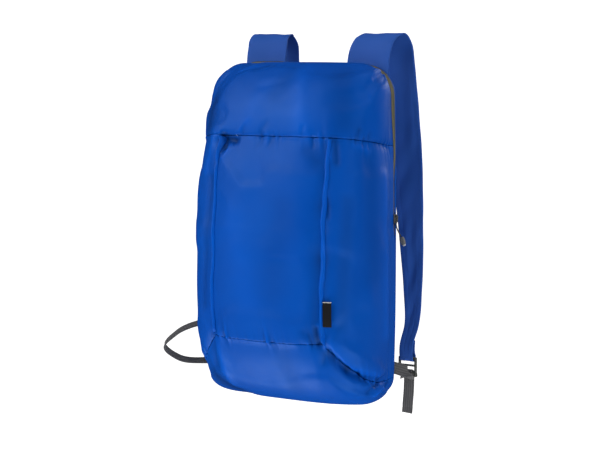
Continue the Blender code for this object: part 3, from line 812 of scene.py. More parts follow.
def rolled(away):
    """How far a seam edge turns in, by the distance from it."""
    return ROLL_DEPTH * np.clip(1 - away / ROLL, 0, 1) ** 2


def stops(length):
    """Shares from -1 to 1 at the fine grid's spacing, closer together at the two edges."""
    count = max(int(length / GRID), 6)
    even = np.linspace(-1, 1, count + 1)
    edge = ROLL / length * 2
    extra = np.array([edge * k for k in (0.25, 0.6, 1.0)])
    return np.unique(np.round(np.concatenate([even, -1 + extra, 1 - extra]), 6))


def store_shade_depth(made, depth):
    """Keeps how far each point stands up or lies in, for the painted shade in the hollows and the painted
    sheen on the crests of the cloth's colour.
    """
    layer = made.data.attributes.new("depth", "FLOAT", "POINT")
    layer.data.foreach_set("value", np.ascontiguousarray(depth, dtype=np.float32).ravel())


def panel(name, place, width, height, seams, looks):
    """A panel over u and v, with its edges turned in at the seams (left, right, low, high)."""
    u, v = np.meshgrid(stops(width), stops(height))
    a, b = place(u, v)
    points = cloth_point(a, b)
    out = normal_at(shell_point, a, b)
    left, right, low, high = seams
    turned = np.zeros_like(u)
    for seam, away in (
        (left, (u + 1) / 2 * width),
        (right, (1 - u) / 2 * width),
        (low, (v + 1) / 2 * height),
        (high, (1 - v) / 2 * height),
    ):
        if seam:
            turned = np.maximum(turned, rolled(away) * seam)
    points = points - out * turned[..., None]
    uvs = np.stack(along_cloth(a, b), -1)
    made = grid_piece(name, points, uvs)
    # The depth of the puckers and creases, kept for the painted shade in the hollows and the painted sheen
    # on the crests
    store_shade_depth(made, (puckers(a, b) + creases(a, b)) * rim_fade(a, b, 0.05))
    return dressed(made, looks["cloth"], (name,), CLOTH * 0.6)


INSET_A = PIECE_GAP / 2 / SIDE.length
INSET_B = PIECE_GAP / 2 / TOP.length


def yoke_place(u, v):
    return u, between(yoke_seam(u) + INSET_B, 1, v)


def base_place(u, v):
    return u, between(-1, base_seam(u) - INSET_B, v)


def pocket_place(u, v):
    a = u * (pocket_edge(u) - INSET_A)
    return a, between(base_seam(a) + INSET_B, yoke_seam(a) - INSET_B, v)


def side_place(sign):
    def place(u, v):
        near = float(pocket_edge(sign)) + INSET_A
        a = between(near, 1, u) if sign > 0 else -between(near, 1, -u)
        return a, between(base_seam(a) + INSET_B, yoke_seam(a) - INSET_B, v)

    return place


def front_shell(looks):
    """The five panels of the front shell, each with the seams that turn its edges in."""
    girth = 2 * SIDE.length
    height = (POCKET_HIGH - POCKET_LOW) * TOP.length
    above = (1 - POCKET_HIGH) * TOP.length
    below = (POCKET_LOW + 1) * BOTTOM.length
    beside = (1 - float(pocket_edge(1))) * SIDE.length
    panel("yoke_panel", yoke_place, girth, above, (0, 0, 1, 0), looks)
    panel("pocket_panel", pocket_place, float(pocket_edge(1)) * girth, height, (1, 1, 1, 1), looks)
    panel("base_panel", base_place, girth, below, (0, 0, 0, 1), looks)
    panel("side_panel_left", side_place(-1), beside, height, (0, 1, 1, 1), looks)
    panel("side_panel_right", side_place(1), beside, height, (1, 0, 1, 1), looks)


def pad_rise(x, z):
    beside = (np.abs(x) - PAD_WIDTH / 2) / (BACK_WIDTH / 2 - PAD_WIDTH / 2)
    above = (np.abs(z - BACK_HEIGHT / 2) - PAD_HEIGHT / 2) / (BACK_HEIGHT / 2 - PAD_HEIGHT / 2)
    return PAD_BOW * (1 - smoothstep(beside * 2.4)) * (1 - smoothstep(above * 2.4))


def back_panel(looks):
    """The panel against the wearer's back, drawn in a little by its two lines of stitching."""
    across, up = np.meshgrid(np.linspace(1, -1, 126), np.linspace(-1, 1, 190))
    x, z = outline_point(across, up)
    wave = np.sin(x * 61 + 1.3 * np.sin(z * 23)) * np.sin(z * 37 + 0.8 * np.sin(x * 31))
    y = CLOTH + pad_rise(x, z) + 0.0007 * wave * rim_fade(across, up, 0.15)
    hem = np.minimum(1 - np.abs(across), 1 - np.abs(up)) * BACK_WIDTH / 2
    y = y - BACK_STITCH * np.exp(-(((hem - BACK_HEM) / 0.0016) ** 2))
    points = np.stack([x, y, z], -1)
    made = grid_piece("back_panel", points, np.stack([x, z], -1))
    return dressed(made, looks["cloth"], ("back_panel",), CLOTH * 0.8)


def pocket_welt(sign, side, looks):
    """The folded edge that stands along an upright seam of the pocket and leans off it."""
    along = np.linspace(0, 1, 200)
    a0 = sign * float(pocket_edge(sign))
    rows = []
    for share, lift in WELT_PROFILE:
        wander = 0.0007 * np.sin(along * 17 + 1) + 0.0004 * np.sin(along * 41)
        a = a0 + (share * WELT_HALF + wander) / SIDE.length
        low = base_seam(a) + WELT_ABOVE_BASE / TOP.length
        high = yoke_seam(a) - WELT_BELOW_YOKE / TOP.length
        b = low + (high - low) * along
        taper = 0.82 + 0.18 * np.sin(along * 31 + 2) * np.sin(along * 9 + 0.4)
        ends = 0.35 + 0.65 * smoothstep(along / 0.02) * smoothstep((1 - along) / 0.02)
        height = 0.0003 + WELT_HEIGHT * lift * taper * ends
        rows.append(cloth_point(a, b) + normal_at(shell_point, a, b) * height[:, None])
    points = np.stack(rows, 1)
    if sign < 0:
        points = points[:, ::-1]
    across = np.linspace(0, WELT_HALF * 2, len(rows))
    uvs = np.stack(np.broadcast_arrays(across, along[:, None] * 0.24), -1)
    made = grid_piece(f"pocket_welt_{side}_fold", points, uvs)
    # The welt is given a crest's depth, so its colour is lightened as a painted highlight
    store_shade_depth(made, np.full(points.shape[:2], WELT_SHEEN_DEPTH))
    smoother = made.modifiers.new("smoother", "SUBSURF")
    smoother.levels = smoother.render_levels = 1
    return dressed(made, looks["cloth"], (f"pocket_welt_{side}",), 0.0005)


def side_label(looks):
    """A bare black tag with a plain pale edge line, sewn in beside the right welt."""
    near = float(pocket_edge(1)) + WELT_HALF / SIDE.length
    far = near + LABEL_WIDTH / SIDE.length
    low, high = (up_share(BASE_HEIGHT + LABEL_UP + extra) for extra in (0, LABEL_HEIGHT))
    share, rise = np.meshgrid(np.linspace(0, 1, 14), np.linspace(0, 1, 34))
    a = near + (far - near) * share
    b = low + (high - low) * rise
    lift = 0.0016 + 0.0016 * share**2 + 0.0003 * np.sin(rise * 5)
    points = shell_point(a, b) + normal_at(shell_point, a, b) * lift[..., None]
    uvs = np.stack([share * LABEL_WIDTH, rise * LABEL_HEIGHT], -1)
    made = grid_piece("side_label", points, uvs)
    return dressed(made, looks["label"], ("side_label",), 0.0006)


def on_outline(a, b):
    across, up = SIDE.at(a)[0], rise_at(b)[0]
    return outline_point(np.where(a > 0, across, -across), np.where(b > 0, up, -up))


def zip_line():
    """Points along the zip with their way outwards, the width of the band and its arch."""
    start = up_share(ZIP_BOTTOM + ZIP_RAMP * 0.55)
    side = [(1, between(start, 1, s)) for s in np.linspace(-1, 1, 70)[:-1]]
    top = [(1 - 2 * s, 1) for s in np.linspace(0, 1, 130)]
    stations = np.array(side + top + [(-a, b) for a, b in reversed(side)], float)
    x, z = on_outline(stations[:, 0], stations[:, 1])
    run = unit(np.gradient(np.stack([x, z], -1), axis=0))
    for _ in range(3):
        run[1:-1] = unit(run[:-2] + 2 * run[1:-1] + run[2:])
    out = np.stack([run[:, 1], np.zeros(len(run)), -run[:, 0]], -1)
    centre = np.stack([x, np.zeros(len(x)), z - BACK_HEIGHT / 2], -1)
    out *= np.sign(np.sum(out * centre, -1, keepdims=True))
    width = zip_width(z - ZIP_STAND_BACK) - 2 * PIECE_GAP
    sunk = ZIP_RECESS * smoothstep((ZIP_WIDENS_FROM - z) / ZIP_FADE)
    leftward = smoothstep((-x - ZIP_LIFT_LEFT_OF) / ZIP_FADE)
    rise = ZIP_PUFF + ZIP_LIFT * leftward * smoothstep((z - ZIP_LIFT_ABOVE) / ZIP_FADE)
    return x - out[:, 0] * sunk, z - out[:, 2] * sunk, out, width, rise


def main_zip(looks):
    """The arched tape and the row of teeth along its crest."""
    x, z, out, width, rise = zip_line()
    rows = []
    for share in np.linspace(1, 0, 9):
        crown = rise[:, None] * (4 * share * (1 - share)) ** 0.7
        point = np.stack([x, -PIECE_GAP - width * share, z], -1) + out * crown
        rows.append(point)
    points = np.stack(rows, 1)
    length = run_length(np.stack([x, z], -1))
    uvs = np.stack(np.broadcast_arrays(np.linspace(0, 0.008, 9), length[:, None]), -1)
    dressed(grid_piece("main_zip", points, uvs), looks["tape"], ("main_zip",), CLOTH * 0.6)
    bm = bmesh.new()
    for place in np.arange(COIL_PITCH, length[-1] - COIL_PITCH, COIL_PITCH):
        spot = np.array([np.interp(place, length, line) for line in (x, z, width, rise)])
        way = Vector([np.interp(place, length, out[:, k]) for k in range(3)]).normalized()
        middle = Vector((spot[0], -PIECE_GAP - spot[2] / 2, spot[1])) + way * (spot[3] + 0.0002)
        along = way.cross(Vector((0, 1, 0)))
        facing = Matrix((along, Vector((0, 1, 0)), way)).transposed().to_4x4()
        run_size, across_size, up_size = COIL_TOOTH
        size = Matrix.Diagonal((run_size, min(across_size, spot[2] * 0.5), up_size, 1))
        shape = Matrix.Translation(middle - Vector(HANG)) @ facing @ size
        bmesh.ops.create_icosphere(bm, subdivisions=1, radius=0.5, matrix=shape)
    dressed(free_piece("zip_coil", bm), looks["coil"])


def free_piece(name, bm, smooth=True):
    mesh = bpy.data.meshes.new(name)
    bm.to_mesh(mesh)
    bm.free()
    if smooth:
        mesh.shade_smooth()
    return linked(name, mesh)


def rounded_box(bm, size, place, turn=0.0, round_by=0.0006, segments=3):
    """Adds a box with rounded edges to a mesh, in the bag's own coordinates."""
    older = set(bm.verts)
    made = bmesh.ops.create_cube(bm, size=1)["verts"]
    bmesh.ops.scale(bm, vec=Vector(size), verts=made)
    edges = list(dict.fromkeys(edge for vert in made for edge in vert.link_edges))
    cut = min(round_by, min(size) * 0.45)
    bmesh.ops.bevel(bm, geom=edges, offset=cut, segments=segments, profile=0.5, affect="EDGES")
    matrix = Matrix.Translation(Vector(place) - Vector(HANG)) @ Matrix.Rotation(turn, 4, "Y")
    bmesh.ops.transform(bm, matrix=matrix, verts=[vert for vert in bm.verts if vert not in older])


def tube_piece(name, points, radius, sides=10):
    """A round tube through the points, closed at both ends."""
    points = np.array(points, float)
    run = unit(np.gradient(points, axis=0))
    first = unit(np.cross(run, np.array([0.0, 1.0, 0.1])))
    second = np.cross(run, first)
    turn = (np.arange(sides) / sides * 2 * pi)[None, :, None]
    round_it = first[:, None] * np.cos(turn) + second[:, None] * np.sin(turn)
    grid = points[:, None] + round_it * radius
    start, end = (points[k : k + 1, None].repeat(sides, 1) for k in (0, len(points) - 1))
    capped = np.concatenate([start, grid, end])
    length = run_length(capped[:, 0])
    uvs = np.stack(np.broadcast_arrays(np.linspace(0, 1, sides) * radius * 6, length[:, None]), -1)
    return grid_piece(name, capped, uvs, closed=True)


def zip_slider(looks):
    b = up_share(ZIP_BOTTOM + ZIP_RAMP + SLIDER_LENGTH / 2)
    x, z = (float(value) for value in on_outline(np.array(1.0), np.array(b)))
    out = ZIP_PUFF + PIECE_GAP + SLIDER_THICKNESS / 2 - ZIP_RECESS * 1.5
    place = Vector((x + out, -ZIP_SIDE_BAND / 2, z))
    thick, wide, long = SLIDER_THICKNESS, SLIDER_WIDTH, SLIDER_LENGTH
    bm = bmesh.new()
    for size, move, round_by in (
        # the two plates, the post between them, and the bar for the pull on its two feet
        ((thick * 0.30, wide, long), (-thick * 0.30, 0, 0), 0.0007),
        ((thick * 0.30, wide, long), (thick * 0.30, 0, 0), 0.0007),
        ((thick * 0.6, wide * 0.34, long * 0.55), (0, 0, 0), 0.0005),
        ((0.0022, wide * 0.30, 0.0020), (thick * 0.75, 0, -long * 0.30), 0.0006),
        ((0.0022, wide * 0.30, 0.0020), (thick * 0.75, 0, long * 0.30), 0.0006),
        ((0.0011, wide * 0.30, long * 0.74), (thick * 1.15, 0, 0), 0.0005),
    ):
        rounded_box(bm, size, place + Vector(move), 0, round_by)
    dressed(free_piece("zip_slider_body", bm), looks["metal"], ("zip_slider",))
    zip_pull(place, looks)


def zip_pull(place, looks):
    """The cord through the slider, its moulded end with three ribs, and the tip, pale grey as a painted
    highlight.
    """
    cord_top = place + Vector((SLIDER_THICKNESS * 0.75, 0, -SLIDER_LENGTH / 2 - PIECE_GAP))
    fall = Vector((sin(PULL_LEAN), 0, -cos(PULL_LEAN)))
    cord_end = cord_top + fall * PULL_CORD_LENGTH
    for side, name in ((-1, "zip_pull_cord_a"), (1, "zip_pull_cord_b")):
        apart = Vector((0, side * PULL_CORD * 0.30, 0))
        rows = [
            tuple(cord_top + Vector((0, side * PULL_CORD * 0.1, 0.002))),
            tuple(cord_top + Vector((-0.0002, 0, -0.002)) + apart),
            tuple(cord_top.lerp(cord_end, 0.5) + Vector((-0.001, -0.0008, 0)) + apart),
            tuple(cord_end + apart),
        ]
        nodes = ("zip_pull_loop",) if side < 0 else ()
        cord = tube_piece(name, smooth_rows(rows, 6), PULL_CORD * 0.28)
        dressed(cord, looks["cord"], nodes)
    bm = bmesh.new()
    size = (PULL_END_WIDTH, PULL_END_WIDTH * 0.8, PULL_END_LENGTH)
    middle = cord_end + fall * (PULL_END_LENGTH / 2 + PIECE_GAP)
    rounded_box(bm, size, middle, -PULL_LEAN, 0.0016, 4)
    for number in range(3):
        rib = (PULL_END_WIDTH * 1.05, PULL_END_WIDTH * 0.86, 0.0007)
        rounded_box(bm, rib, middle + fall * (-0.0026 + number * 0.0019), -PULL_LEAN, 0.0003)
    dressed(free_piece("zip_pull_end_grip", bm), looks["moulded"], ("zip_pull_end",))
    # The tip's pale grey is a painted highlight at the cord's end
    bm = bmesh.new()
    tip = (PULL_END_WIDTH * 0.6, PULL_END_WIDTH * 0.5, 0.0022)
    rounded_box(bm, tip, cord_end + fall * (PULL_END_LENGTH + 0.0006), -PULL_LEAN, 0.0007)
    dressed(free_piece("zip_pull_tip", bm), looks["tip"])


# Straps and webbing

def ribbon(name, rows, columns, profile, looks_name, looks, nodes, wall):
    """A flat band through rows of a place, a half width and the way that its width faces."""
    rows = np.array(rows)
    run = unit(np.gradient(rows[:, :3], axis=0))
    across = rows[:, 4:7]
    across = unit(across - run * np.sum(across * run, -1, keepdims=True))
    facing = np.cross(run, across)
    length = run_length(rows[:, :3])
    share, along = np.meshgrid(np.linspace(-1, 1, columns + 1), length)
    half = rows[:, 3][:, None]
    lift = profile(share, along, half)
    points = (
        rows[:, None, :3] + across[:, None] * (half * share)[..., None] + facing[:, None] * lift[..., None]
    )
    uvs = np.stack([share * half, along], -1)
    made = grid_piece(name, points, uvs)
    return dressed(made, looks[looks_name], nodes, wall, 0)


def turn_round(x, y, z, radius, start, end, steps):
    """Points round a bar, by angles from straight up."""
    made = []
    for k in range(steps + 1):
        angle = radians(start + (end - start) * k / steps)
        made.append((x, y + radius * sin(angle), z + radius * cos(angle)))
    return made


def lock_place(sign):
    """The middle of the top bar of a buckle."""
    x = sign * (BACK_WIDTH / 2 - STRAP_INSET + STRAP_SPLAY)
    y = LOCK_STANDOFF
    z = LOCK_HEIGHT_ON_BAG
    if sign < 0:
        x += LEFT_TUCK
        y += LEFT_STANDOFF
        z += LEFT_LIFT
    else:
        x -= RIGHT_SHIFT
    return Vector((x, y, z))


def wrap_radius(thickness):
    return hypot(LOCK_THICKNESS, LOCK_BAR) / 2 + PIECE_GAP + thickness / 2


def strap_rows(sign):
    """A strap from its tab over the arch, down, round its buckle and back up."""
    top_bar = lock_place(sign)
    edge = float(outline_point(np.array(1 - 2 * STRAP_INSET / BACK_WIDTH), np.array(1.0))[1])
    crest = BACK_HEIGHT + STRAP_ARCH
    face = CLOTH + PIECE_GAP + STRAP_CLOTH / 2
    half, half_end = STRAP_WIDTH / 2, STRAP_END_WIDTH / 2
    x = sign * (BACK_WIDTH / 2 - STRAP_INSET)
    tuck = LEFT_TUCK if sign < 0 else 0
    loop = wrap_radius(STRAP_CLOTH)
    rows = [
        (x, face, edge - STRAP_TAB, half),
        (x, face, edge - STRAP_TAB * 0.4, half),
        (x, face + STRAP_STANDOFF * 0.02, edge + STRAP_ARCH * 0.05, half),
        (x + sign * STRAP_SPLAY * 0.03, face + STRAP_STANDOFF * 0.10, edge + STRAP_ARCH * 0.55, half * 0.99),
    ]
    bow = LEFT_BOW if sign < 0 else 0
    for drop, back, splay, narrowing in STRAP_SECTIONS:
        y = STRAP_STANDOFF * back
        y += bow * float(smoothstep(drop * 1.3) * (1 - smoothstep(drop * 1.5 - 0.5)))
        y += (top_bar.y - LOCK_STANDOFF) * drop
        z = crest + (top_bar.z - crest) * drop
        across = x + sign * STRAP_SPLAY * splay + tuck * drop**2
        rows.append((across, y, z, half + (half_end - half) * narrowing))
    front, rear = top_bar.y - loop, top_bar.y + loop
    rows.append((top_bar.x, front - STRAP_CLOTH * 0.5, top_bar.z + STRAP_RETURN * 0.55, half_end))
    rows += [(*p, half_end) for p in turn_round(*top_bar, loop, -90, -270, 6)]
    rows.append((top_bar.x, rear + STRAP_CLOTH * 0.3, top_bar.z + STRAP_RETURN * 0.36, half_end * 0.8))
    rows.append((top_bar.x, rear + STRAP_CLOTH * 0.8, top_bar.z + STRAP_RETURN, half_end * 0.78))
    return smooth_rows([(*row, 1, 0, 0) for row in rows], 12)


def strap_profile(seed):
    chance = np.random.default_rng(seed)
    turns = chance.random(6) * 2 * pi

    def profile(share, along, half):
        away = (1 - np.abs(share)) * half
        hem = HEM_HEIGHT * smoothstep((HEM_WIDTH - away) / 0.0015)
        seam = -STITCH_DEPTH * np.exp(-(((away - HEM_WIDTH - 0.0003) / 0.0009) ** 2))
        wave = np.sin(along * 71 + turns[0] + share * 1.7) * np.sin(along * 29 + turns[1])
        wave = wave + 0.6 * np.sin(along * 143 + turns[2] + share * 2.6) * np.sin(share * 2.1 + turns[3])
        wave = wave + 0.5 * np.sin(share * 5.5 + turns[4] + along * 19) * np.sin(along * 17 + turns[5])
        free = smoothstep((along - 0.05) / 0.05) * smoothstep((along.max() - 0.05 - along) / 0.05)
        return hem + seam + 0.0011 * wave * free * (0.35 + 0.65 * smoothstep(away / 0.012))

    return profile


def shoulder_strap(sign, side, looks):
    rows = strap_rows(sign)
    name = f"strap_{side}"
    seed = 41 if sign < 0 else 43
    ribbon(name, rows, 30, strap_profile(seed), "strap", looks, (name,), STRAP_CLOTH * 0.75)


def ladder_lock(sign, side, looks):
    """A moulded frame with a slot for the strap, one for the webbing, and two lugs."""
    top_bar = lock_place(sign)
    height = LOCK_BAR * 3 + LOCK_SLOT_STRAP + LOCK_SLOT_WEBBING
    top = top_bar.z + LOCK_BAR / 2
    rail_x = (LOCK_WIDTH - LOCK_RAIL) / 2
    bm = bmesh.new()
    for end in (-1, 1):
        rail = (LOCK_RAIL, LOCK_THICKNESS, height)
        rounded_box(bm, rail, (top_bar.x + end * rail_x, top_bar.y, top - height / 2), 0, 0.0011)
        lug_place = (top_bar.x + end * (rail_x + 0.0002), top_bar.y, top - height - LOCK_LUG * 0.2)
        lug = (LOCK_RAIL * 1.2, LOCK_THICKNESS * 1.3, LOCK_LUG)
        rounded_box(bm, lug, lug_place, end * -0.10, 0.0014, 4)
    down = 0
    for thick, drop in ((1.0, LOCK_SLOT_STRAP), (1.05, LOCK_SLOT_WEBBING), (1.0, 0)):
        bar = (LOCK_WIDTH - LOCK_RAIL, LOCK_THICKNESS * 0.95 * thick, LOCK_BAR)
        rounded_box(bm, bar, (top_bar.x, top_bar.y, top - down - LOCK_BAR / 2), 0, 0.0010)
        down += LOCK_BAR + drop
    for k in range(-4, 5):
        rib = (0.0007, LOCK_THICKNESS * 1.08, LOCK_BAR * 0.8)
        rounded_box(bm, rib, (top_bar.x + k * 0.0020, top_bar.y, top - height + LOCK_BAR / 2), 0, 0.0002, 1)
    dressed(free_piece(f"buckle_{side}_frame", bm), looks["lock"], (f"buckle_{side}",))


def webbing_rows(sign, route, reach, tail):
    """The webbing from its anchor, round the buckle's low bar, to its tail."""
    top_bar = lock_place(sign)
    low_bar = top_bar.z - 2 * LOCK_BAR - LOCK_SLOT_STRAP - LOCK_SLOT_WEBBING
    anchor_x = BACK_WIDTH / 2 - WEBBING_ANCHOR_IN
    face = CLOTH + PIECE_GAP + WEBBING / 2
    half = WEBBING_WIDTH / 2
    rows = []
    for out, back, up, width_out, width_back, width_up in route:
        place = (sign * (anchor_x + out * reach), face + back * reach, WEBBING_ANCHOR + up * reach)
        rows.append((*place, half, sign * width_out, width_back, width_up))
    loop = wrap_radius(WEBBING)
    facing = (1 if rows[-1][4] > 0 else -1, 0, 0)
    x, front, rear = top_bar.x, top_bar.y - loop, top_bar.y + loop
    places = [
        (x, front - WEBBING * 0.8, low_bar - WEBBING_WIDTH * 0.3),
        *turn_round(x, top_bar.y, low_bar, loop, -90, 90, 6),
        (x, rear + WEBBING * 0.4, low_bar - tail * 0.3),
        (x - sign * WEBBING * 0.8, rear, low_bar - tail * 0.7),
        (x - sign * WEBBING * 1.6, rear - WEBBING * 0.8, low_bar - tail),
    ]
    rows += [(*place, half, *facing) for place in places]
    return smooth_rows(rows, 12)


def webbing_profile(share, along, half):
    edge = -WEBBING_EDGE * smoothstep((np.abs(share) - 0.80) / 0.2)
    ribs = WEBBING_RIB * np.cos(share * 2 * pi * 2.5)
    hem = WEBBING_HEM * smoothstep((along - along.max() + WEBBING_HEM_LENGTH) / 0.0015)
    return edge + ribs + hem


def webbing(sign, side, route, reach, tail, looks):
    name = f"webbing_{side}"
    rows = webbing_rows(sign, route, reach, tail)
    ribbon(name, rows, 20, webbing_profile, "webbing", looks, (name,), WEBBING)


# Materials

def new_look(name, colour, roughness, specular=0.5, sheen=0.0):
    look = bpy.data.materials.new(name)
    look.use_nodes = True
    sockets = look.node_tree.nodes["Principled BSDF"].inputs
    for socket, value in (
        ("Base Color", (*colour, 1)),
        ("Roughness", roughness),
        ("Specular IOR Level", specular),
        ("Sheen Weight", sheen),
        ("Sheen Roughness", 0.45),
    ):
        sockets[socket].default_value = value
    return look, look.node_tree, sockets


def add_node(tree, kind, inputs, output=0, **settings):
    """A shader node's output, with each input set to a value or joined to another output."""
    node = tree.nodes.new("ShaderNode" + kind)
    for name, value in settings.items():
        setattr(node, name, value)
    for socket, value in inputs.items():
        if isinstance(value, bpy.types.NodeSocket):
            tree.links.new(value, node.inputs[socket])
        else:
            node.inputs[socket].default_value = value
    return node.outputs[output]


def coordinates(tree):
    return tree.nodes.new("ShaderNodeTexCoord").outputs


def math_node(tree, operation, first, second):
    return add_node(tree, "Math", {0: first, 1: second}, operation=operation)


def noise(tree, coordinate, scale, detail=2):
    return add_node(tree, "TexNoise", {"Vector": coordinate, "Scale": scale, "Detail": detail}, "Fac")


def wave(tree, coordinate, direction, pitch, distortion=0.0):
    inputs = {"Vector": coordinate, "Scale": pi / 10 / pitch, "Distortion": distortion}
    return add_node(tree, "TexWave", inputs, "Fac", bands_direction=direction)


def remap(tree, value, low, high, from_low=0.0, from_high=1.0):
    return add_node(tree, "MapRange", {0: value, 1: from_low, 2: from_high, 3: low, 4: high})


def mixed(tree, share, first, second):
    return add_node(tree, "Mix", {0: share, 6: (*first, 1), 7: (*second, 1)}, 2, data_type="RGBA")


def mottled(tree, coordinate, scale, colours):
    """A soft change between two near colours."""
    return mixed(tree, remap(tree, noise(tree, coordinate, scale), 0, 1, 0.3, 0.7), *colours)


def bump(tree, sockets, height, distance, strength, before=None):
    inputs = {"Height": height, "Distance": distance, "Strength": strength}
    if before is not None:
        inputs["Normal"] = before
    made = add_node(tree, "Bump", inputs)
    tree.links.new(made, sockets["Normal"])
    return made


def woven(name, colours, roughness, pitch, specular, sheen, tint=(1, 1, 1), fold_shade_and_sheen=0.0):
    """Thin woven cloth: a fine weave, soft changes of colour and small crumples, with painted shade in the
    hollows and painted sheen on the crests where asked.
    """
    look, tree, sockets = new_look(name, colours[0], roughness, specular, sheen)
    sockets["Sheen Tint"].default_value = (0.55, 0.68, 1.0, 1)
    sockets["Specular Tint"].default_value = (*tint, 1)
    place = coordinates(tree)
    threads, crossing = (wave(tree, place["UV"], direction, pitch, 0.4) for direction in "XY")
    weave = math_node(tree, "MULTIPLY", threads, crossing)
    colour = mottled(tree, place["Object"], 16, colours)
    # Painted shade and sheen: the stored depth darkens the colour in the hollows of the creases and puckers
    # and lightens it on their crests
    if fold_shade_and_sheen:
        depth = add_node(tree, "Attribute", {}, "Fac", attribute_name="depth")
        tone = remap(tree, depth, 1 - fold_shade_and_sheen, 1 + fold_shade_and_sheen, -FOLD_SHADE_DEPTH, FOLD_SHADE_DEPTH)
        colour = add_node(tree, "VectorMath", {0: colour, "Scale": tone}, operation="SCALE")
    tree.links.new(colour, sockets["Base Color"])
    fine = noise(tree, place["Object"], 60, 3)
    tree.links.new(remap(tree, fine, roughness - 0.05, roughness + 0.06, 0.3, 0.7), sockets["Roughness"])
    crumple = bump(tree, sockets, noise(tree, place["Object"], 70), 0.0003, 0.6)
    bump(tree, sockets, weave, 0.00006, 0.5, crumple)
    return look


def webbing_look():
    look, tree, sockets = new_look("grey_webbing_weave", WEBBING_GREYS[0], 0.75, 0.3, 0.2)
    place = coordinates(tree)["UV"]
    rows = wave(tree, place, "Y", 0.0011)
    twill = wave(tree, place, "DIAGONAL", 0.0009)
    ribs = wave(tree, place, "X", 0.0030)
    weave = math_node(tree, "ADD", math_node(tree, "MULTIPLY", rows, twill), ribs)
    tone = remap(tree, weave, 0, 1, 0.2, 1.6)
    tree.links.new(mixed(tree, tone, *WEBBING_GREYS), sockets["Base Color"])
    bump(tree, sockets, weave, 0.0003, 0.7)
    return look


def plastic_look(name, colours, roughness):
    """Moulded plastic or paint with a fine grain."""
    look, tree, sockets = new_look(name, colours[0], roughness)
    place = coordinates(tree)["Object"]
    tree.links.new(mottled(tree, place, 140, colours), sockets["Base Color"])
    grain = noise(tree, place, 600)
    tree.links.new(remap(tree, grain, roughness - 0.06, roughness + 0.08, 0.3, 0.7), sockets["Roughness"])
    bump(tree, sockets, grain, 0.00004, 0.5)
    return look


def label_look():
    """Black satin tape with one plain pale line near its upper end."""
    look, tree, sockets = new_look("bare_label", LABEL_BLACK, 0.6, 0.15)
    place = coordinates(tree)["UV"]
    up = add_node(tree, "SeparateXYZ", {0: place}, 1)
    above = math_node(tree, "GREATER_THAN", up, LABEL_HEIGHT - 0.0013)
    below = math_node(tree, "LESS_THAN", up, LABEL_HEIGHT - 0.0005)
    line = math_node(tree, "MULTIPLY", above, below)
    tree.links.new(mixed(tree, line, LABEL_BLACK, LABEL_LINE), sockets["Base Color"])
    bump(tree, sockets, wave(tree, place, "Y", 0.00035), 0.00005, 0.5)
    return look


def all_looks():
    return {
        # The cloth gets painted shade in its hollows and painted sheen on its crests
        "cloth": woven("blue_cloth_weave", CLOTH_BLUES, 0.42, 0.0006, 0.30, 0.0, CLOTH_GLOSS, FOLD_SHADE_AND_SHEEN),
        "strap": woven("strap_cloth_weave", STRAP_BLUES, 0.60, 0.0007, 0.08, 0.0),
        "tape": woven("zip_tape_weave", TAPE_OLIVES, 0.7, 0.0008, 0.3, 0.1),
        "coil": plastic_look("zip_coil_nylon", COIL_OLIVES, 0.5),
        "metal": plastic_look("slider_metal_paint", METAL_GREYS, 0.35),
        "cord": woven("pull_cord_braid", CORD_GREYS, 0.7, 0.0005, 0.3, 0.1),
        "moulded": plastic_look("moulded_grip", GRIP_GREYS, 0.5),
        "tip": plastic_look("pale_tip_painted_glint", TIP_GLINT_GREYS, 0.4),
        "webbing": webbing_look(),
        "lock": plastic_look("buckle_plastic_grey", LOCK_GREYS, 0.38),
        "label": label_look(),
    }


# Light and backdrop

def area_light(name, azimuth, elevation, power):
    """A soft square light that faces the camera's target."""
    data = bpy.data.lights.new(name, "AREA")
    data.size = LIGHT_SIZE
    data.energy = power
    back = way_out(azimuth, elevation)
    light = linked(name, data)
    light.location = Vector(CAMERA_TARGET) + back * LIGHT_DISTANCE
    light.rotation_euler = back.to_track_quat("Z", "Y").to_euler()


def white_look(name):
    look, _, sockets = new_look(name, (0.9, 0.9, 0.9), 0.9, 0.0)
    sockets["Emission Color"].default_value = (1, 1, 1, 1)
    sockets["Emission Strength"].default_value = 1
    return look


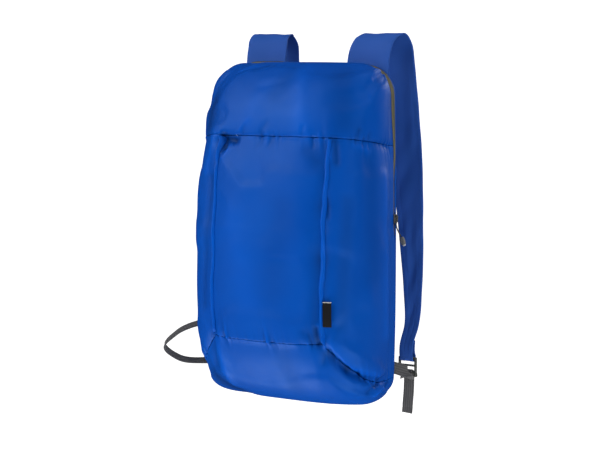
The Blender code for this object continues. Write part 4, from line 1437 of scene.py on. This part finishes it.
def dome_and_floor():
    """A white dome and floor that light nothing, so that the bag stands before plain white."""
    bm = bmesh.new()
    bmesh.ops.create_uvsphere(bm, u_segments=48, v_segments=24, radius=9)
    bmesh.ops.reverse_faces(bm, faces=bm.faces)
    dome = free_piece("backdrop", bm)
    dome.data.materials.append(white_look("backdrop_white"))
    bm = bmesh.new()
    bmesh.ops.create_grid(bm, x_segments=1, y_segments=1, size=8)
    floor = free_piece("floor", bm, False)
    floor.location = (0, 0, CAD_BOX[0][2] - 0.45)
    floor.data.materials.append(white_look("floor_white"))
    for piece in (dome, floor):
        piece.visible_diffuse = False
        piece.visible_glossy = False
        piece.visible_shadow = False


def sky_and_lights():
    world = bpy.context.scene.world or bpy.data.worlds.new("world")
    bpy.context.scene.world = world
    world.use_nodes = True
    tree = world.node_tree
    tree.nodes["Background"].inputs["Color"].default_value = (1, 1, 1, 1)
    dark_side = (sin(radians(DARK_AZIMUTH)), -cos(radians(DARK_AZIMUTH)), 0)
    inputs = {0: coordinates(tree)["Generated"], 1: dark_side}
    toward = add_node(tree, "VectorMath", inputs, "Value", operation="DOT_PRODUCT")
    strength = remap(tree, toward, SKY_STRENGTH, SKY_STRENGTH * 0.1, 0.1, 0.8)
    tree.links.new(strength, tree.nodes["Background"].inputs["Strength"])
    for number, (azimuth, elevation, power) in enumerate(LIGHTS):
        area_light(f"light_{number}", azimuth, elevation, power)
    bpy.context.scene.view_settings.view_transform = "Standard"


add_camera()
BLOWN = blown_up()
LOOKS = all_looks()
front_shell(LOOKS)
back_panel(LOOKS)
main_zip(LOOKS)
zip_slider(LOOKS)
side_label(LOOKS)
for SIGN, NAME, ROUTE, REACH, TAIL in (
    (-1, "left", WEBBING_LEFT_ROUTE, WEBBING_LEFT_REACH, TAIL_LEFT),
    (1, "right", WEBBING_RIGHT_ROUTE, WEBBING_RIGHT_REACH, TAIL_RIGHT),
):
    pocket_welt(SIGN, NAME, LOOKS)
    shoulder_strap(SIGN, NAME, LOOKS)
    ladder_lock(SIGN, NAME, LOOKS)
    webbing(SIGN, NAME, ROUTE, REACH, TAIL, LOOKS)
dome_and_floor()
sky_and_lights()
